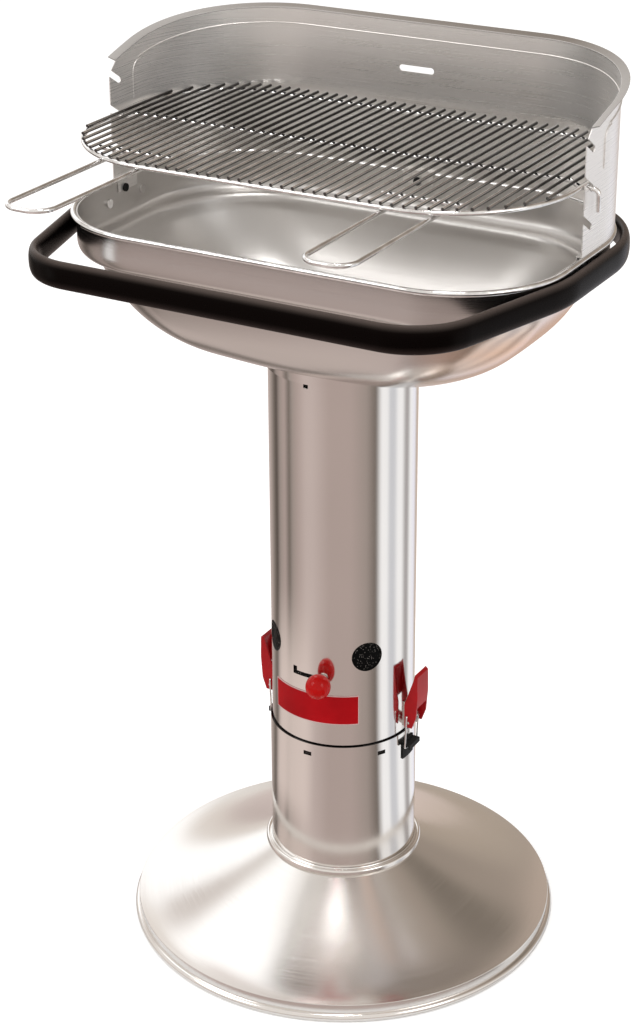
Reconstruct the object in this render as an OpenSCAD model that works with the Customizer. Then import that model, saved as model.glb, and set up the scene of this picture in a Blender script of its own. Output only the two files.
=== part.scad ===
// Charcoal grill on a round column: a spun foot, a two-part column held by two toggle clips,
// an air valve with a ball knob, an oblong bowl with a wind shield, a hand rail round the bowl
// and a wire cooking grate whose cross rod rests in slanting notches of the shield.
// Millimetres, +Z up, +X to the right of the user, front towards -Y, origin on the floor
// under the middle of the column.

/* [Foot] */
// Outer radius of the foot over its rolled edge
foot_r = 246.5; // [225:0.5:275]
// Radius of the wire rolled into the edge of the foot
foot_bead_r = 5; // [3:0.5:6]
// Height of the edge of the dish above the floor
foot_edge_z = 21; // [16:1:28]
// Height of the top of the dish, where the neck ring sits
foot_top_z = 87; // [76:1:100]
// How strongly the dish is hollowed, 1 is a plain cone
foot_hollow = 1.35; // [1:0.05:1.6]
// Sheet thickness of foot, column and bowl
sheet = 1.5; // [1:0.1:2]

/* [Column] */
// Outer radius of the lower column
lower_r = 83; // [82.8:0.1:90]
// Outer radius of the upper column
upper_r = 81; // [78:0.1:81.2]
// Height of the seam between the two halves of the column
seam_z = 253; // [240:1:300]
// Height of the top of the column inside the bowl's neck
column_top_z = 704; // [690:1:715]
// Number of lugs that carry the ash pail
lug_count = 6; // [3:1:8]
// Depth of the lugs below the seam
lug_drop = 16; // [14:1:20]

/* [Ash pail] */
// Wall radius of the ash pail
pail_r = 73; // [60:1:74]
// Depth of the ash pail
pail_depth = 125; // [60:1:140]

/* [Air valve] */
// Height of the air holes
air_z = 364; // [355:1:400]
// Radius of an air hole
air_r = 17.5; // [10:0.5:18]
// Height of the knob's slot
slot_z = 337.5; // [332:0.5:340]
// Diameter of the knob's stem
stem_d = 4.4; // [4:0.1:7]
// Angle through which the valve turns
valve_turn = 25; // [24:1:30]
// Angle of the closed knob, from the front towards the right
knob_az = 13; // [8:1:18]
// Radius of the ball knob
ball_r = 14; // [10:0.5:16]
// Distance of the ball from the column's axis
ball_out = 100; // [98:0.5:106]

/* [Name plate] */
// Half angle of the bare plate
plate_az = 38.2; // [25:0.1:40]
// Turn of the plate and the air holes round the column, against the bowl
front_turn = 3; // [-5:0.5:5]
// Height of the plate's lower edge
plate_z = 281; // [262:1:284]
// Height of the plate
plate_h = 36; // [20:1:38]

/* [Clips] */
// Height of the lever's pin above the seam
pin_up = 15; // [13:1:20]
// Distance of the lever's pin from the column
pin_out = 9; // [8.5:0.5:11]
// Length of the lever above its pin
lever_l = 62; // [50:1:75]
// Outer width of the lever
lever_w = 26; // [24:1:32]
// Distance of the keeper's hook below the seam
keeper_drop = 18; // [16:1:24]

/* [Bowl] */
// Half width of the bowl over its rolled rim
rim_x = 278.5; // [260:0.5:300]
// Half depth of the bowl over its rolled rim
rim_y = 176.5; // [165:0.5:190]
// Corner radius of the rim at the front
rim_corner = 120; // [100:1:140]
// Corner radius of the rim at the back
rim_back_corner = 140; // [110:1:150]
// Radius of the rolled rim
bead_r = 3; // [2.5:0.1:3.5]
// Height of the middle of the rolled rim
rim_z = 843; // [830:1:860]
// Height of the upright wall below the rim
wall_h = 31; // [24:1:40]
// Radius of the neck at the bottom of the bowl
neck_r = 84.5; // [83.5:0.1:90]
// Height of the bottom of the bowl
bowl_bottom_z = 702; // [696:1:710]

/* [Wind shield] */
// Sheet thickness of the shield
shield_t = 1.2; // [1:0.1:1.6]
// Front edge of the shield's side walls
shield_front_y = -17; // [-40:1:0]
// Height of the shield's top at the middle of the bowl
shield_top_z = 979; // [960:1:1000]
// Rise of the shield's top towards the back
shield_rise = 0.285; // [0.1:0.005:0.35]
// Flattening of that rise towards the back
shield_flatten = 0.00058; // [0:0.00001:0.0007]
// Depth of the upper notches' inner ends below the shield's top at the middle of the bowl
notch_drop = 27; // [23:1:36]
// Distance between the notches for the grate
notch_step = 39; // [36:1:44]
// Width of a notch
notch_w = 7; // [6:0.5:9]

/* [Hand rail] */
// Half width of the rail's straight front
rail_front_x = 230; // [200:1:250]
// Distance of the rail's front from the column's axis
rail_front_y = 253; // [235:1:280]
// Width of the rail's section
rail_w = 11; // [9:0.5:12]
// Height of the rail's section
rail_h = 29; // [20:1:30]
// Gap between the rail and the bowl's wall at the sides
rail_gap = 3; // [2.8:0.1:8]
// Gap between the rail's top and the rolled rim
rail_under = 1.1; // [0.8:0.1:6]

/* [Cooking grate] */
// Gap between the grate's frame and the shield
grate_gap = 1; // [0.8:0.1:12]
// Front of the grate's frame
grate_front_y = 165; // [150:1:172]
// Gap between the tips of the rods and the back of the shield
grate_back_gap = 15; // [6:1:30]
// Overhang of the rods behind the frame
rod_tip = 12; // [6:1:16]
// Number of gaps between the rods
rod_gaps = 44; // [24:2:48]
// Diameter of a rod
rod_d = 3.5; // [3:0.5:4.5]
// Diameter of the frame's wire
frame_d = 5; // [4:0.5:5.5]
// How far a handle reaches in front of the frame
handle_reach = 157; // [120:1:200]
// Length of a handle's legs inside the frame
handle_in = 46; // [30:1:70]
// Width of a handle between the middles of its wires
handle_w = 51; // [40:1:64]
// Distance of the handles' middles from the middle of the grate
handle_x = 164; // [130:1:180]
// Offset of both handles to the left
handle_shift = 7; // [0:1:10]
// Drop of the hooks at the ends of the cross rod
hook_drop = 22; // [12:1:40]

/* [Charcoal grate] */
// Radius of the charcoal grate over its ring
coal_r = 105; // [95:1:106]
// Diameter of the charcoal grate's wire
coal_d = 6; // [4:0.5:8]

/* [Hidden] */
$fn = 96;

steel = [0.80, 0.77, 0.74];
dark_steel = [0.45, 0.43, 0.42];
black = [0.08, 0.07, 0.07];
red = [0.78, 0.05, 0.08];
chrome = [0.88, 0.88, 0.90];

// Running clearance between turning pieces
run = 0.3;
// Clearance where a piece only stands inside another
fit = 0.3;
// Depth by which a cut runs past the face that it opens
cut = 1;

// Foot, from the edge of the dish to the neck
dish_r = foot_r - foot_bead_r;
neck_ring_out = 7;
foot_flat = 0.4;
dish_top_r = lower_r + 2.5;
dish_steps = 10;
clamp_r = 108;
clamp_hole_r = 58;
clamp_z = 62;
foot_screw_r = 68;
foot_screw_d = 6;
foot_flange_r = foot_screw_r - 8;

// Upper column, which plugs into the lower one, and what turns in it
lug_z = seam_z - lug_drop;
seat = 0.1;
sleeve_r = upper_r - sheet - run;
sleeve_h = 62;
sleeve_z = air_z - 36;
slot_w = stem_d + 2 * run;
slot_hook = 5;
slot_end = asin((slot_w / 2 + 0.2) / upper_r);
stem_az = knob_az;

// Column clips, in a frame whose X points away from the column's axis
pin_r = upper_r + pin_out;
pin_z = seam_z + pin_up;
pin_d = 3;
ear_gap = 4.5;
ear_t = 2;
lever_cut = 21;
flange_t = 2;
wire_r = 1;
bail_in = 1;
bail_up = 8;
bail_half = lever_w / 2 + wire_r + 0.6;
keeper_half = bail_half - 2.6;
bar_r = lower_r + 4.4;
bar_z = seam_z - keeper_drop;
hook_t = 2;

// Bowl, outer faces of its wall
wall_x = rim_x - 2 * bead_r;
wall_y = rim_y - 2 * bead_r;
wall_corner = rim_corner - 2 * bead_r;
wall_back_corner = rim_back_corner - 2 * bead_r;
fold_z = rim_z - wall_h;
fold_in = 17;
fold_drop = 13;
flow_n = 1.28;
flow_m = 3;
corner_steps = 12;
neck_z = 684;
neck_fit = 0.6;

// Shield, outer faces
shield_x = rim_x - bead_r + shield_t / 2;
shield_y = rim_y - bead_r + shield_t / 2;
shield_corner = rim_back_corner - bead_r + shield_t / 2;
shield_z = rim_z + bead_r + 0.2;
chamfer = 12;
hem_w = 8;
hem_rise = 2.8;
hem_drop = 4.2;
hem_fit = 0.1;
tab_x = wall_x - sheet - fit;
tab_y = wall_y - sheet - fit;
tab_w = 36;
tab_drop = 16;
bolt_d = 5;
bolt_z = rim_z - 8;
bolt_y = shield_front_y + 12;
notch_depth = 17;
notch_tilt = 33;
slot_l = 42;
slot_h = 7;
slot_x = -6;
slot_drop = 22;

// Rail, centre line
rail_x = wall_x + rail_gap + rail_w / 2;
rail_z = rim_z - bead_r - rail_under - rail_h / 2;
rail_path = [[-rail_front_x, -rail_front_y], [rail_front_x, -rail_front_y], [rail_x, -rim_y + 113],
    [rail_x, rim_y + 17], [-rail_x, rim_y + 17], [-rail_x, -rim_y + 113]];
rail_bends = [70, 70, 180, 141, 141, 180];
rail_mount_y = [shield_front_y - 18, shield_front_y + tab_w + 10];

// Grate
frame_x = shield_x - shield_t - grate_gap - frame_d / 2;
frame_f = grate_front_y;
frame_b = shield_y - shield_t - grate_back_gap - rod_tip;
frame_rf = 132;
frame_rb = 102;
frame_path = [[-frame_x, -frame_f], [frame_x, -frame_f], [frame_x, frame_b], [-frame_x, frame_b]];
frame_bends = [frame_rf, frame_rf, frame_rb, frame_rb];
weld = 0.05;
notch_top_z = shield_top_z - notch_drop;
cross_low_z = notch_top_z - notch_step - (notch_w - frame_d) / 2 + 0.3;
frame_z = cross_low_z + frame_d + 2 * weld;
rod_z = frame_z + frame_d / 2 + rod_d / 2 + weld;
rod_pitch = 2 * (frame_x - 7.5) / rod_gaps;
hook_x = shield_x + 7.5;

// Charcoal grate
coal_wire_r = coal_r - coal_d / 2;

// A point list along an arc of radius r round [cx, cy], from angle a0 to a1
function arc_points(cx, cy, r, a0, a1, n) =
    [for (i = [0:n]) [cx + r * cos(a0 + (a1 - a0) * i / n), cy + r * sin(a0 + (a1 - a0) * i / n)]];

// Points strictly between p and q
function between(p, q, n) = [for (i = [1:n - 1]) p + (q - p) * i / n];

// An oblong of half sizes x and y with corner radii rf at the front and rb at the back
function oblong(x, y, rf, rb, n) = concat(
    arc_points(x - rf, -y + rf, rf, -90, 0, n), between([x, -y + rf], [x, y - rb], 4),
    arc_points(x - rb, y - rb, rb, 0, 90, n), between([x - rb, y], [-x + rb, y], 8),
    arc_points(-x + rb, y - rb, rb, 90, 180, n), between([-x, y - rb], [-x, -y + rf], 4),
    arc_points(-x + rf, -y + rf, rf, 180, 270, n), between([-x + rf, -y], [x - rf, -y], 8));

// A bar that follows points in the XY plane with a bend at each; the child is its section
function heading(p, q) = atan2(q[1] - p[1], q[0] - p[0]);
function turn(a, b) = let (t = b - a) t > 180 ? t - 360 : t < -180 ? t + 360 : t;
module bent_bar(p, r, closed = true) {
    n = len(p);
    last = closed ? n - 1 : n - 2;
    function t_at(i) = (!closed && (i == 0 || i == n - 1)) ? 0 :
        abs(turn(heading(p[(i + n - 1) % n], p[i]), heading(p[i], p[(i + 1) % n])));
    function cut_at(i) = t_at(i) == 0 ? 0 : r[i] * tan(t_at(i) / 2);
    for (i = [0:last]) let (q = p[(i + 1) % n], a = heading(p[i], q), l = norm(q - p[i]))
        translate([p[i][0], p[i][1], 0]) rotate([0, 0, a]) translate([l - cut_at((i + 1) % n), 0, 0])
            rotate([90, 0, -90]) linear_extrude(l - cut_at(i) - cut_at((i + 1) % n)) children();
    for (i = [closed ? 0 : 1:closed ? n - 1 : n - 2])
        let (a = heading(p[(i + n - 1) % n], p[i]), b = heading(p[i], p[(i + 1) % n]), t = turn(a, b),
            s = t > 0 ? 1 : -1, c = cut_at(i))
        translate([p[i][0] - c * cos(a) - s * r[i] * sin(a), p[i][1] - c * sin(a) + s * r[i] * cos(a), 0])
            rotate([0, 0, s > 0 ? a - 90 : b + 90]) rotate_extrude(angle = abs(t)) translate([r[i], 0]) children();
}
module wire(d) circle(d = d, $fn = 32);

// The points of a path with round bends, and a swept surface through points; a section's x points
// to the right of the path and its y up
function bend_points(p, r, i, closed) = let (n = len(p)) (!closed && (i == 0 || i == n - 1)) ? [p[i]] :
    let (a = heading(p[(i + n - 1) % n], p[i]), t = turn(a, heading(p[i], p[(i + 1) % n])), s = t > 0 ? 1 : -1,
        c = r[i] * tan(abs(t) / 2), m = p[i] + [-c * cos(a) - s * r[i] * sin(a), -c * sin(a) + s * r[i] * cos(a)],
        k = max(2, ceil(abs(t) / 7.5)))
    [for (j = [0:k]) m + r[i] * [cos(a - 90 * s + t * j / k), sin(a - 90 * s + t * j / k)]];
function bent_path(p, r, closed) = [for (i = [0:len(p) - 1]) for (q = bend_points(p, r, i, closed)) [q[0], q[1], 0]];
function round_section(r, sides) = [for (k = [0:sides - 1]) r * [cos(360 * k / sides), sin(360 * k / sides)]];
function unit(v) = v / norm(v);
function ring_at(path, section, i, closed) =
    let (n = len(path), p = path[i], a = closed || i > 0 ? unit(p - path[(i + n - 1) % n]) : [0, 0, 0],
        b = closed || i < n - 1 ? unit(path[(i + 1) % n] - p) : [0, 0, 0], t = unit(a + b),
        side = unit(cross(t, [0, 0, 1])), up = cross(side, t))
    [for (q = section) p + q[0] * side + q[1] * up];
module swept(path, section, closed) {
    n = len(path);
    m = len(section);
    runs = [for (i = [0:closed ? n - 1 : n - 2]) for (k = [0:m - 1]) for (h = [0:1])
        let (a = i * m + k, b = i * m + (k + 1) % m, c = ((i + 1) % n) * m + k, d = ((i + 1) % n) * m + (k + 1) % m)
        h == 0 ? [a, c, d] : [a, d, b]];
    ends = closed ? [] : [[for (k = [0:m - 1]) k], [for (k = [m - 1:-1:0]) (n - 1) * m + k]];
    polyhedron([for (i = [0:n - 1]) for (q = ring_at(path, section, i, closed)) q], concat(runs, ends), convexity = 8);
}

// Turns a shape that is drawn along +X to the azimuth az, counted from the front to the right
module at_az(az) rotate([0, 0, az - 90]) children();

// A ring or, with az1, a part of one between two azimuths
module ring(r_in, r_out, z0, z1) translate([0, 0, z0]) difference() {
    cylinder(r = r_out, h = z1 - z0);
    translate([0, 0, -cut]) cylinder(r = r_in, h = z1 - z0 + 2 * cut);
}
module ring_part(r_in, r_out, z0, z1, az0, az1)
    rotate([0, 0, az0 - 90]) rotate_extrude(angle = az1 - az0)
        translate([r_in, z0]) square([r_out - r_in, z1 - z0]);

// Skin of a surface through rings of points, one ring after the other, closed into a loop
module skin(rings) {
    n = len(rings[0]);
    m = len(rings);
    points = [for (r = rings) for (p = r) p];
    faces = [for (j = [0:m - 1]) for (i = [0:n - 1]) for (h = [0:1])
        let (a = j * n + i, b = j * n + (i + 1) % n, c = ((j + 1) % m) * n + (i + 1) % n, d = ((j + 1) % m) * n + i)
        h == 0 ? [a, b, c] : [a, c, d]];
    polyhedron(points, faces, convexity = 8);
}

// Height of the dish at radius r
function dish_z(r) = foot_edge_z + (foot_top_z - foot_edge_z) * pow((dish_r - r) / (dish_r - dish_top_r), foot_hollow);
function dish_line(drop) = [for (i = [0:dish_steps])
    let (r = dish_r - (dish_r - dish_top_r) * i / dish_steps) [r, dish_z(r) - drop]];
function reversed(list) = [for (i = [len(list) - 1:-1:0]) list[i]];

module foot_dish() color(steel) rotate_extrude($fn = 180)
    polygon(concat([[dish_r - sheet, 2 * foot_bead_r - 1], [dish_r, 2 * foot_bead_r - 1]], dish_line(0),
        reversed([for (p = dish_line(sheet)) [max(dish_top_r, min(p[0], dish_r - sheet)), p[1]]])));

// The rolled edge is pressed flat where it stands on the floor
module foot_edge() color(steel) rotate_extrude($fn = 180)
    difference() {
        translate([dish_r, foot_bead_r - foot_flat]) circle(r = foot_bead_r, $fn = 32);
        translate([dish_r - sheet - fit / 2, 2 * foot_bead_r - 1.2]) square([sheet + fit, 2 * foot_bead_r]);
        translate([dish_r - 2 * foot_bead_r, -foot_bead_r]) square([4 * foot_bead_r, foot_bead_r]);
    }

module foot_neck() color(steel) rotate_extrude()
    polygon(concat([[lower_r + fit / 2, foot_top_z + fit / 2], [lower_r + neck_ring_out, foot_top_z + fit / 2]],
        arc_points(lower_r + neck_ring_out - 3, foot_top_z + 3.5, 3, 0, 90, 6),
        [[lower_r + fit / 2, foot_top_z + 6.5]]));

module foot_clamp() color(dark_steel) difference() {
    rotate_extrude() polygon([[clamp_hole_r, clamp_z - sheet], [clamp_r - 8, clamp_z - sheet],
        [clamp_r, dish_z(clamp_r) - sheet - fit - 2], [clamp_r, dish_z(clamp_r) - sheet - fit],
        [clamp_r - 9, clamp_z], [clamp_hole_r, clamp_z]]);
    for (k = [0:3]) at_az(45 + 90 * k) translate([foot_screw_r, 0, clamp_z - sheet - cut])
        cylinder(d = foot_screw_d + 0.4, h = sheet + 2 * cut, $fn = 32);
}

module foot_screw(k) color(dark_steel) at_az(45 + 90 * k) translate([foot_screw_r, 0, clamp_z - sheet]) {
    translate([0, 0, -4]) cylinder(r = 5.5, h = 4, $fn = 6);
    cylinder(d = foot_screw_d, h = 3 * sheet + 8, $fn = 32);
    translate([0, 0, 2 * sheet + 0.05]) cylinder(r = 5.5, h = 5, $fn = 6);
}

module lower_column() color(steel) difference() {
    union() {
        ring(lower_r - sheet, lower_r, clamp_z, seam_z);
        ring(foot_flange_r, lower_r - 0.5, clamp_z, clamp_z + sheet);
        for (k = [0:lug_count - 1]) at_az(360 * k / lug_count)
            translate([pail_r + 1, -5, lug_z - sheet]) cube([lower_r - sheet / 2 - pail_r - 1, 10, sheet]);
    }
    for (k = [0:lug_count - 1]) at_az(360 * k / lug_count)
        translate([lower_r - sheet - cut, -5, lug_z]) cube([sheet + 2 * cut, 10, 5]);
    for (k = [0:3]) at_az(45 + 90 * k) translate([foot_screw_r, 0, clamp_z - cut])
        cylinder(d = foot_screw_d + 0.4, h = sheet + 2 * cut, $fn = 32);
}

pail_z = lug_z + seat;
pail_rim_r = upper_r - sheet - fit;
module ash_pail() color(dark_steel) rotate_extrude()
    polygon([[0, pail_z - pail_depth], [pail_r, pail_z - pail_depth], [pail_r, pail_z],
        [pail_rim_r, pail_z], [pail_rim_r, pail_z + sheet], [pail_r - sheet, pail_z + sheet],
        [pail_r - sheet, pail_z - pail_depth + sheet], [0, pail_z - pail_depth + sheet]]);

module upper_column() color(steel) difference() {
    ring(upper_r - sheet, upper_r, lug_z + seat, column_top_z);
    for (k = [0:3]) at_az(45 + front_turn + 90 * k) translate([0, 0, air_z])
        rotate([0, 90, 0]) cylinder(r = air_r, h = upper_r + cut);
    ring_part(upper_r - sheet - cut, upper_r + cut, slot_z - slot_w / 2, slot_z + slot_w / 2,
        knob_az - valve_turn - slot_end, knob_az + slot_end);
    ring_part(upper_r - sheet - cut, upper_r + cut, slot_z, slot_z + slot_w / 2 + slot_hook,
        knob_az - valve_turn - slot_end, knob_az - valve_turn + slot_end);
    for (k = [0:3]) at_az(90 * k) translate([0, 0, neck_z - 3.4]) rotate([0, 90, 0])
        translate([-2.8, -2.8, 0]) cube([5.6, 5.6, upper_r + cut]);
}

module name_plate() color(red)
    ring_part(upper_r + seat, upper_r + 0.8 + seat, plate_z, plate_z + plate_h, front_turn - plate_az, front_turn + plate_az);

module clip_base(side) color(chrome) at_az(90 * side) difference() {
    union() {
        rotate([0, 0, 90]) ring_part(upper_r + seat, upper_r + 1.6, pin_z - 9, pin_z + 22, -4.6, 4.6);
        for (s = [-1, 1]) translate([upper_r + 0.8, s * (ear_gap + ear_t / 2) - ear_t / 2, pin_z - 7])
            cube([pin_out + 2.6, ear_t, 14]);
    }
    translate([pin_r, lever_w / 2, pin_z]) rotate([90, 0, 0]) cylinder(d = pin_d + 0.1, h = lever_w, $fn = 48);
}

module clip_pin(side) color(chrome) at_az(90 * side) translate([pin_r, lever_w / 2 + 0.2, pin_z]) rotate([90, 0, 0])
    cylinder(d = pin_d, h = lever_w + 0.4, $fn = 48);

// The lever is a pressed channel that is open towards the column and cut out over the bail
module clip_lever(side) color(red) at_az(90 * side) difference() {
    lever_side(lever_w, [[4.5, -6], [-4.5, -6], [-5, 22], [0, lever_l - 25], [6, lever_l - 7], [8, lever_l + 1],
        [11, lever_l - 2], [11.5, 34], [9.5, 8]]);
    lever_side(lever_w - 2 * flange_t, [[12, -8], [-8, -8], [-8, lever_l + 3], [4, lever_l - 1], [8.5, lever_l - 5],
        [9.5, 34], [8.6, lever_cut], [14, lever_cut - 1]]);
    translate([pin_r, lever_w, pin_z]) rotate([90, 0, 0]) cylinder(d = pin_d + 2 * run, h = 2 * lever_w, $fn = 48);
    translate([pin_r - bail_in, lever_w, pin_z + bail_up]) rotate([90, 0, 0])
        cylinder(r = wire_r + 0.15, h = 2 * lever_w, $fn = 32);
}
module lever_side(w, outline) translate([pin_r, w / 2, pin_z]) rotate([90, 0, 0])
    linear_extrude(w) polygon(outline);

// The bail is a wire loop outside the lever whose ends turn in it and whose bar hooks under the keeper
module clip_bail(side) color(chrome) at_az(90 * side) {
    top = [pin_r - bail_in, pin_z + bail_up];
    low = [bar_r, bar_z];
    l = norm(top - low);
    tilt = atan2(top[0] - low[0], top[1] - low[1]);
    for (s = [-1, 1]) {
        translate([low[0], s * bail_half, low[1]]) rotate([0, tilt, 0]) cylinder(r = wire_r, h = l, $fn = 32);
        translate([top[0], s * (bail_half + lever_w / 2 - flange_t) / 2, top[1]]) rotate([90, 0, 0])
            cylinder(r = wire_r, h = bail_half - lever_w / 2 + flange_t, center = true, $fn = 32);
        for (p = [top, low]) translate([p[0], s * bail_half, p[1]]) sphere(r = wire_r, $fn = 32);
    }
    translate([low[0], bail_half, low[1]]) rotate([90, 0, 0]) cylinder(r = wire_r, h = 2 * bail_half, $fn = 32);
}

module clip_keeper(side) color(black) at_az(90 * side) {
    rotate([0, 0, 90]) ring_part(lower_r + seat, lower_r + 1.6, bar_z - 16, bar_z + 6,
        -asin(keeper_half / lower_r), asin(keeper_half / lower_r));
    out = bar_r + wire_r + 2 - lower_r;
    translate([lower_r + 0.8, -keeper_half, bar_z + wire_r + 0.3]) cube([out + hook_t - 0.8, 2 * keeper_half, hook_t]);
    translate([lower_r + out, -keeper_half, bar_z - 2.5]) cube([hook_t, 2 * keeper_half, wire_r + 3]);
}

module air_sleeve() color(black) difference() {
    at_az(115) ring(sleeve_r - sheet, sleeve_r, sleeve_z, sleeve_z + sleeve_h);
    for (k = [0:3]) at_az(45 + front_turn + valve_turn + 90 * k) translate([sleeve_r - 12, 0, air_z]) rotate([0, 90, 0])
        rotate([0, 0, 33]) cylinder(r = air_r, h = 20);
    valve_axis() cylinder(d = stem_d + 0.1, h = upper_r, $fn = 48);
}
module valve_axis() at_az(stem_az) translate([0, 0, slot_z]) rotate([0, 90, 0]) children();
module valve_stem() color(chrome) valve_axis() {
    translate([0, 0, sleeve_r - sheet - 3.2]) cylinder(r = 4, h = 3.1, $fn = 6);
    translate([0, 0, sleeve_r - sheet - 1]) cylinder(d = stem_d, h = ball_out - ball_r + 9 - sleeve_r + sheet, $fn = 48);
}
module valve_ferrule() color(chrome) valve_axis() translate([0, 0, upper_r + 0.5]) difference() {
    cylinder(r1 = stem_d / 2 + 3, r2 = stem_d / 2 + 2.2, h = ball_out - ball_r - upper_r - 0.6, $fn = 48);
    translate([0, 0, -cut]) cylinder(d = stem_d + 0.1, h = 20, $fn = 48);
}
module valve_knob() color(red) valve_axis() difference() {
    translate([0, 0, ball_out]) sphere(r = ball_r, $fn = 64);
    translate([0, 0, ball_out - ball_r - cut]) cylinder(d = stem_d + 0.1, h = 9 + cut, $fn = 48);
}

module bowl_neck() color(steel) difference() {
    union() {
        ring(upper_r + 0.1, neck_r - 0.1, neck_z, bowl_bottom_z + sheet + 2);
        ring(neck_r - 0.2, neck_r + 8, bowl_bottom_z - 2, bowl_bottom_z - 0.1);
    }
    for (k = [0:3]) at_az(45 + 90 * k) translate([0, 0, neck_z + 9]) rotate([0, 90, 0])
        cylinder(d = 5.2, h = upper_r + 20, $fn = 32);
}
module neck_screw(k) color(dark_steel) at_az(45 + 90 * k) translate([0, 0, neck_z + 9]) rotate([0, 90, 0]) {
    translate([0, 0, neck_r]) cylinder(r = 4.5, h = 2.2, $fn = 32);
    translate([0, 0, upper_r + 0.1]) cylinder(d = 5, h = neck_r - upper_r, $fn = 32);
}

// The bowl's section changes from the oblong wall through a rounded fold to the round neck;
// b is the blend between the folded wall and the neck
function bowl_ring(b, inset, z) =
    let (x = wall_x - fold_in - inset, y = wall_y - fold_in - inset, d = (fold_in + inset) / 2,
        o = oblong(x, y, wall_corner - d, wall_back_corner - d, corner_steps))
    [for (p = o) let (t = atan2(p[1] / y, p[0] / x), c = (neck_r + neck_fit) * [cos(t), sin(t)], q = (1 - b) * p + b * c)
        [q[0], q[1], z]];
function wall_ring(inset, z) = [for (p = oblong(wall_x - inset, wall_y - inset, wall_corner - inset,
    wall_back_corner - inset, corner_steps)) [p[0], p[1], z]];
function flow_z(b) = let (q = pow(1 - pow(1 - b, flow_m), 1 / flow_n), top = fold_z - fold_drop)
    top + (bowl_bottom_z - top) * q;
blends = [0.06, 0.14, 0.24, 0.36, 0.5, 0.66, 0.83, 1];
function bowl_side(inset, lift) = concat(
    [wall_ring(inset, rim_z + 1), wall_ring(inset, fold_z), wall_ring(inset + 0.12 * fold_in, fold_z - 0.45 * fold_drop),
        wall_ring(inset + 0.45 * fold_in, fold_z - 0.8 * fold_drop + lift / 2), bowl_ring(0, inset, fold_z - fold_drop + lift)],
    [for (b = blends) bowl_ring(b, inset, flow_z(b) + lift)]);
module bowl() color(steel) difference() {
    skin(concat(bowl_side(0, 0), reversed(bowl_side(sheet, sheet))));
    for (s = [-1, 1]) {
        for (y = rail_mount_y) side_bore(s * wall_x, y, rail_z);
        side_bore(s * wall_x, bolt_y, bolt_z);
    }
    translate([0, wall_y, bolt_z]) rotate([90, 0, 0]) cylinder(d = bolt_d + 0.2, h = 20, center = true, $fn = 32);
}
module side_bore(x, y, z) translate([x, y, z]) rotate([0, 90, 0]) cylinder(d = bolt_d + 0.2, h = 20, center = true, $fn = 32);

module bowl_rim() color(steel) translate([0, 0, rim_z]) let (x = rim_x - bead_r, y = rim_y - bead_r)
    bent_bar([[-x, -y], [x, -y], [x, y], [-x, y]],
        [rim_corner - bead_r, rim_corner - bead_r, rim_back_corner - bead_r, rim_back_corner - bead_r])
        circle(r = bead_r - 0.1, $fn = 32);

// The shield's sheet stands on the rolled rim; tabs step inwards and down into the bowl
function top_z(y) = shield_top_z + shield_rise * y - shield_flatten * y * y;
module shield_profile() difference() {
    let (f = shield_front_y, e = f + chamfer, b = shield_y + 1)
    polygon(concat([[b, shield_z], [f, shield_z], [f, top_z(e) - chamfer - hem_drop]],
        [for (i = [0:16]) let (y = e + (b - e) * i / 16) [y, top_z(y) - hem_drop]]));
    for (k = [0:2]) translate([0, notch_top_z - k * notch_step]) rotate(180 - notch_tilt) {
        circle(d = notch_w, $fn = 32);
        translate([0, -notch_w / 2]) square([3 * notch_depth, notch_w]);
    }
}
module shield_sheet(h) let (x = shield_x - shield_t / 2, y = shield_y - shield_t / 2, r = shield_corner - shield_t / 2)
    bent_bar([[x, shield_front_y], [x, y], [-x, y], [-x, shield_front_y]], [0, r, r, 0], false)
        translate([-shield_t / 2, 0]) square([shield_t, h]);
module wind_shield() color(steel) difference() {
    union() {
        intersection() {
            translate([0, 0, shield_z]) shield_sheet(top_z(shield_y) - shield_z);
            rotate([90, 0, 90]) translate([0, 0, -shield_x - 10]) linear_extrude(2 * shield_x + 20) shield_profile();
        }
        for (s = [-1, 1]) mirror([s > 0 ? 0 : 1, 0, 0]) {
            translate([tab_x - shield_t, shield_front_y, shield_z]) cube([shield_x - tab_x + shield_t, tab_w, shield_t]);
            translate([tab_x - shield_t, shield_front_y, shield_z - tab_drop + 2]) cube([shield_t, tab_w, tab_drop - 2 + shield_t]);
        }
        translate([-tab_w / 2, tab_y - shield_t, shield_z]) cube([tab_w, shield_y - tab_y + shield_t, shield_t]);
        translate([-tab_w / 2, tab_y - shield_t, shield_z - tab_drop + 2]) cube([tab_w, shield_t, tab_drop - 2 + shield_t]);
    }
    for (s = [-1, 1]) side_bore(s * wall_x, bolt_y, bolt_z);
    translate([0, wall_y, bolt_z]) rotate([90, 0, 0]) cylinder(d = bolt_d + 0.2, h = 20, center = true, $fn = 32);
    translate([slot_x, shield_y, shield_top_z - slot_drop]) rotate([90, 0, 0]) linear_extrude(20, center = true) {
        square([slot_l - slot_h, slot_h], center = true);
        for (s = [-1, 1]) translate([s * (slot_l - slot_h) / 2, 0]) circle(d = slot_h, $fn = 32);
    }
}

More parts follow.
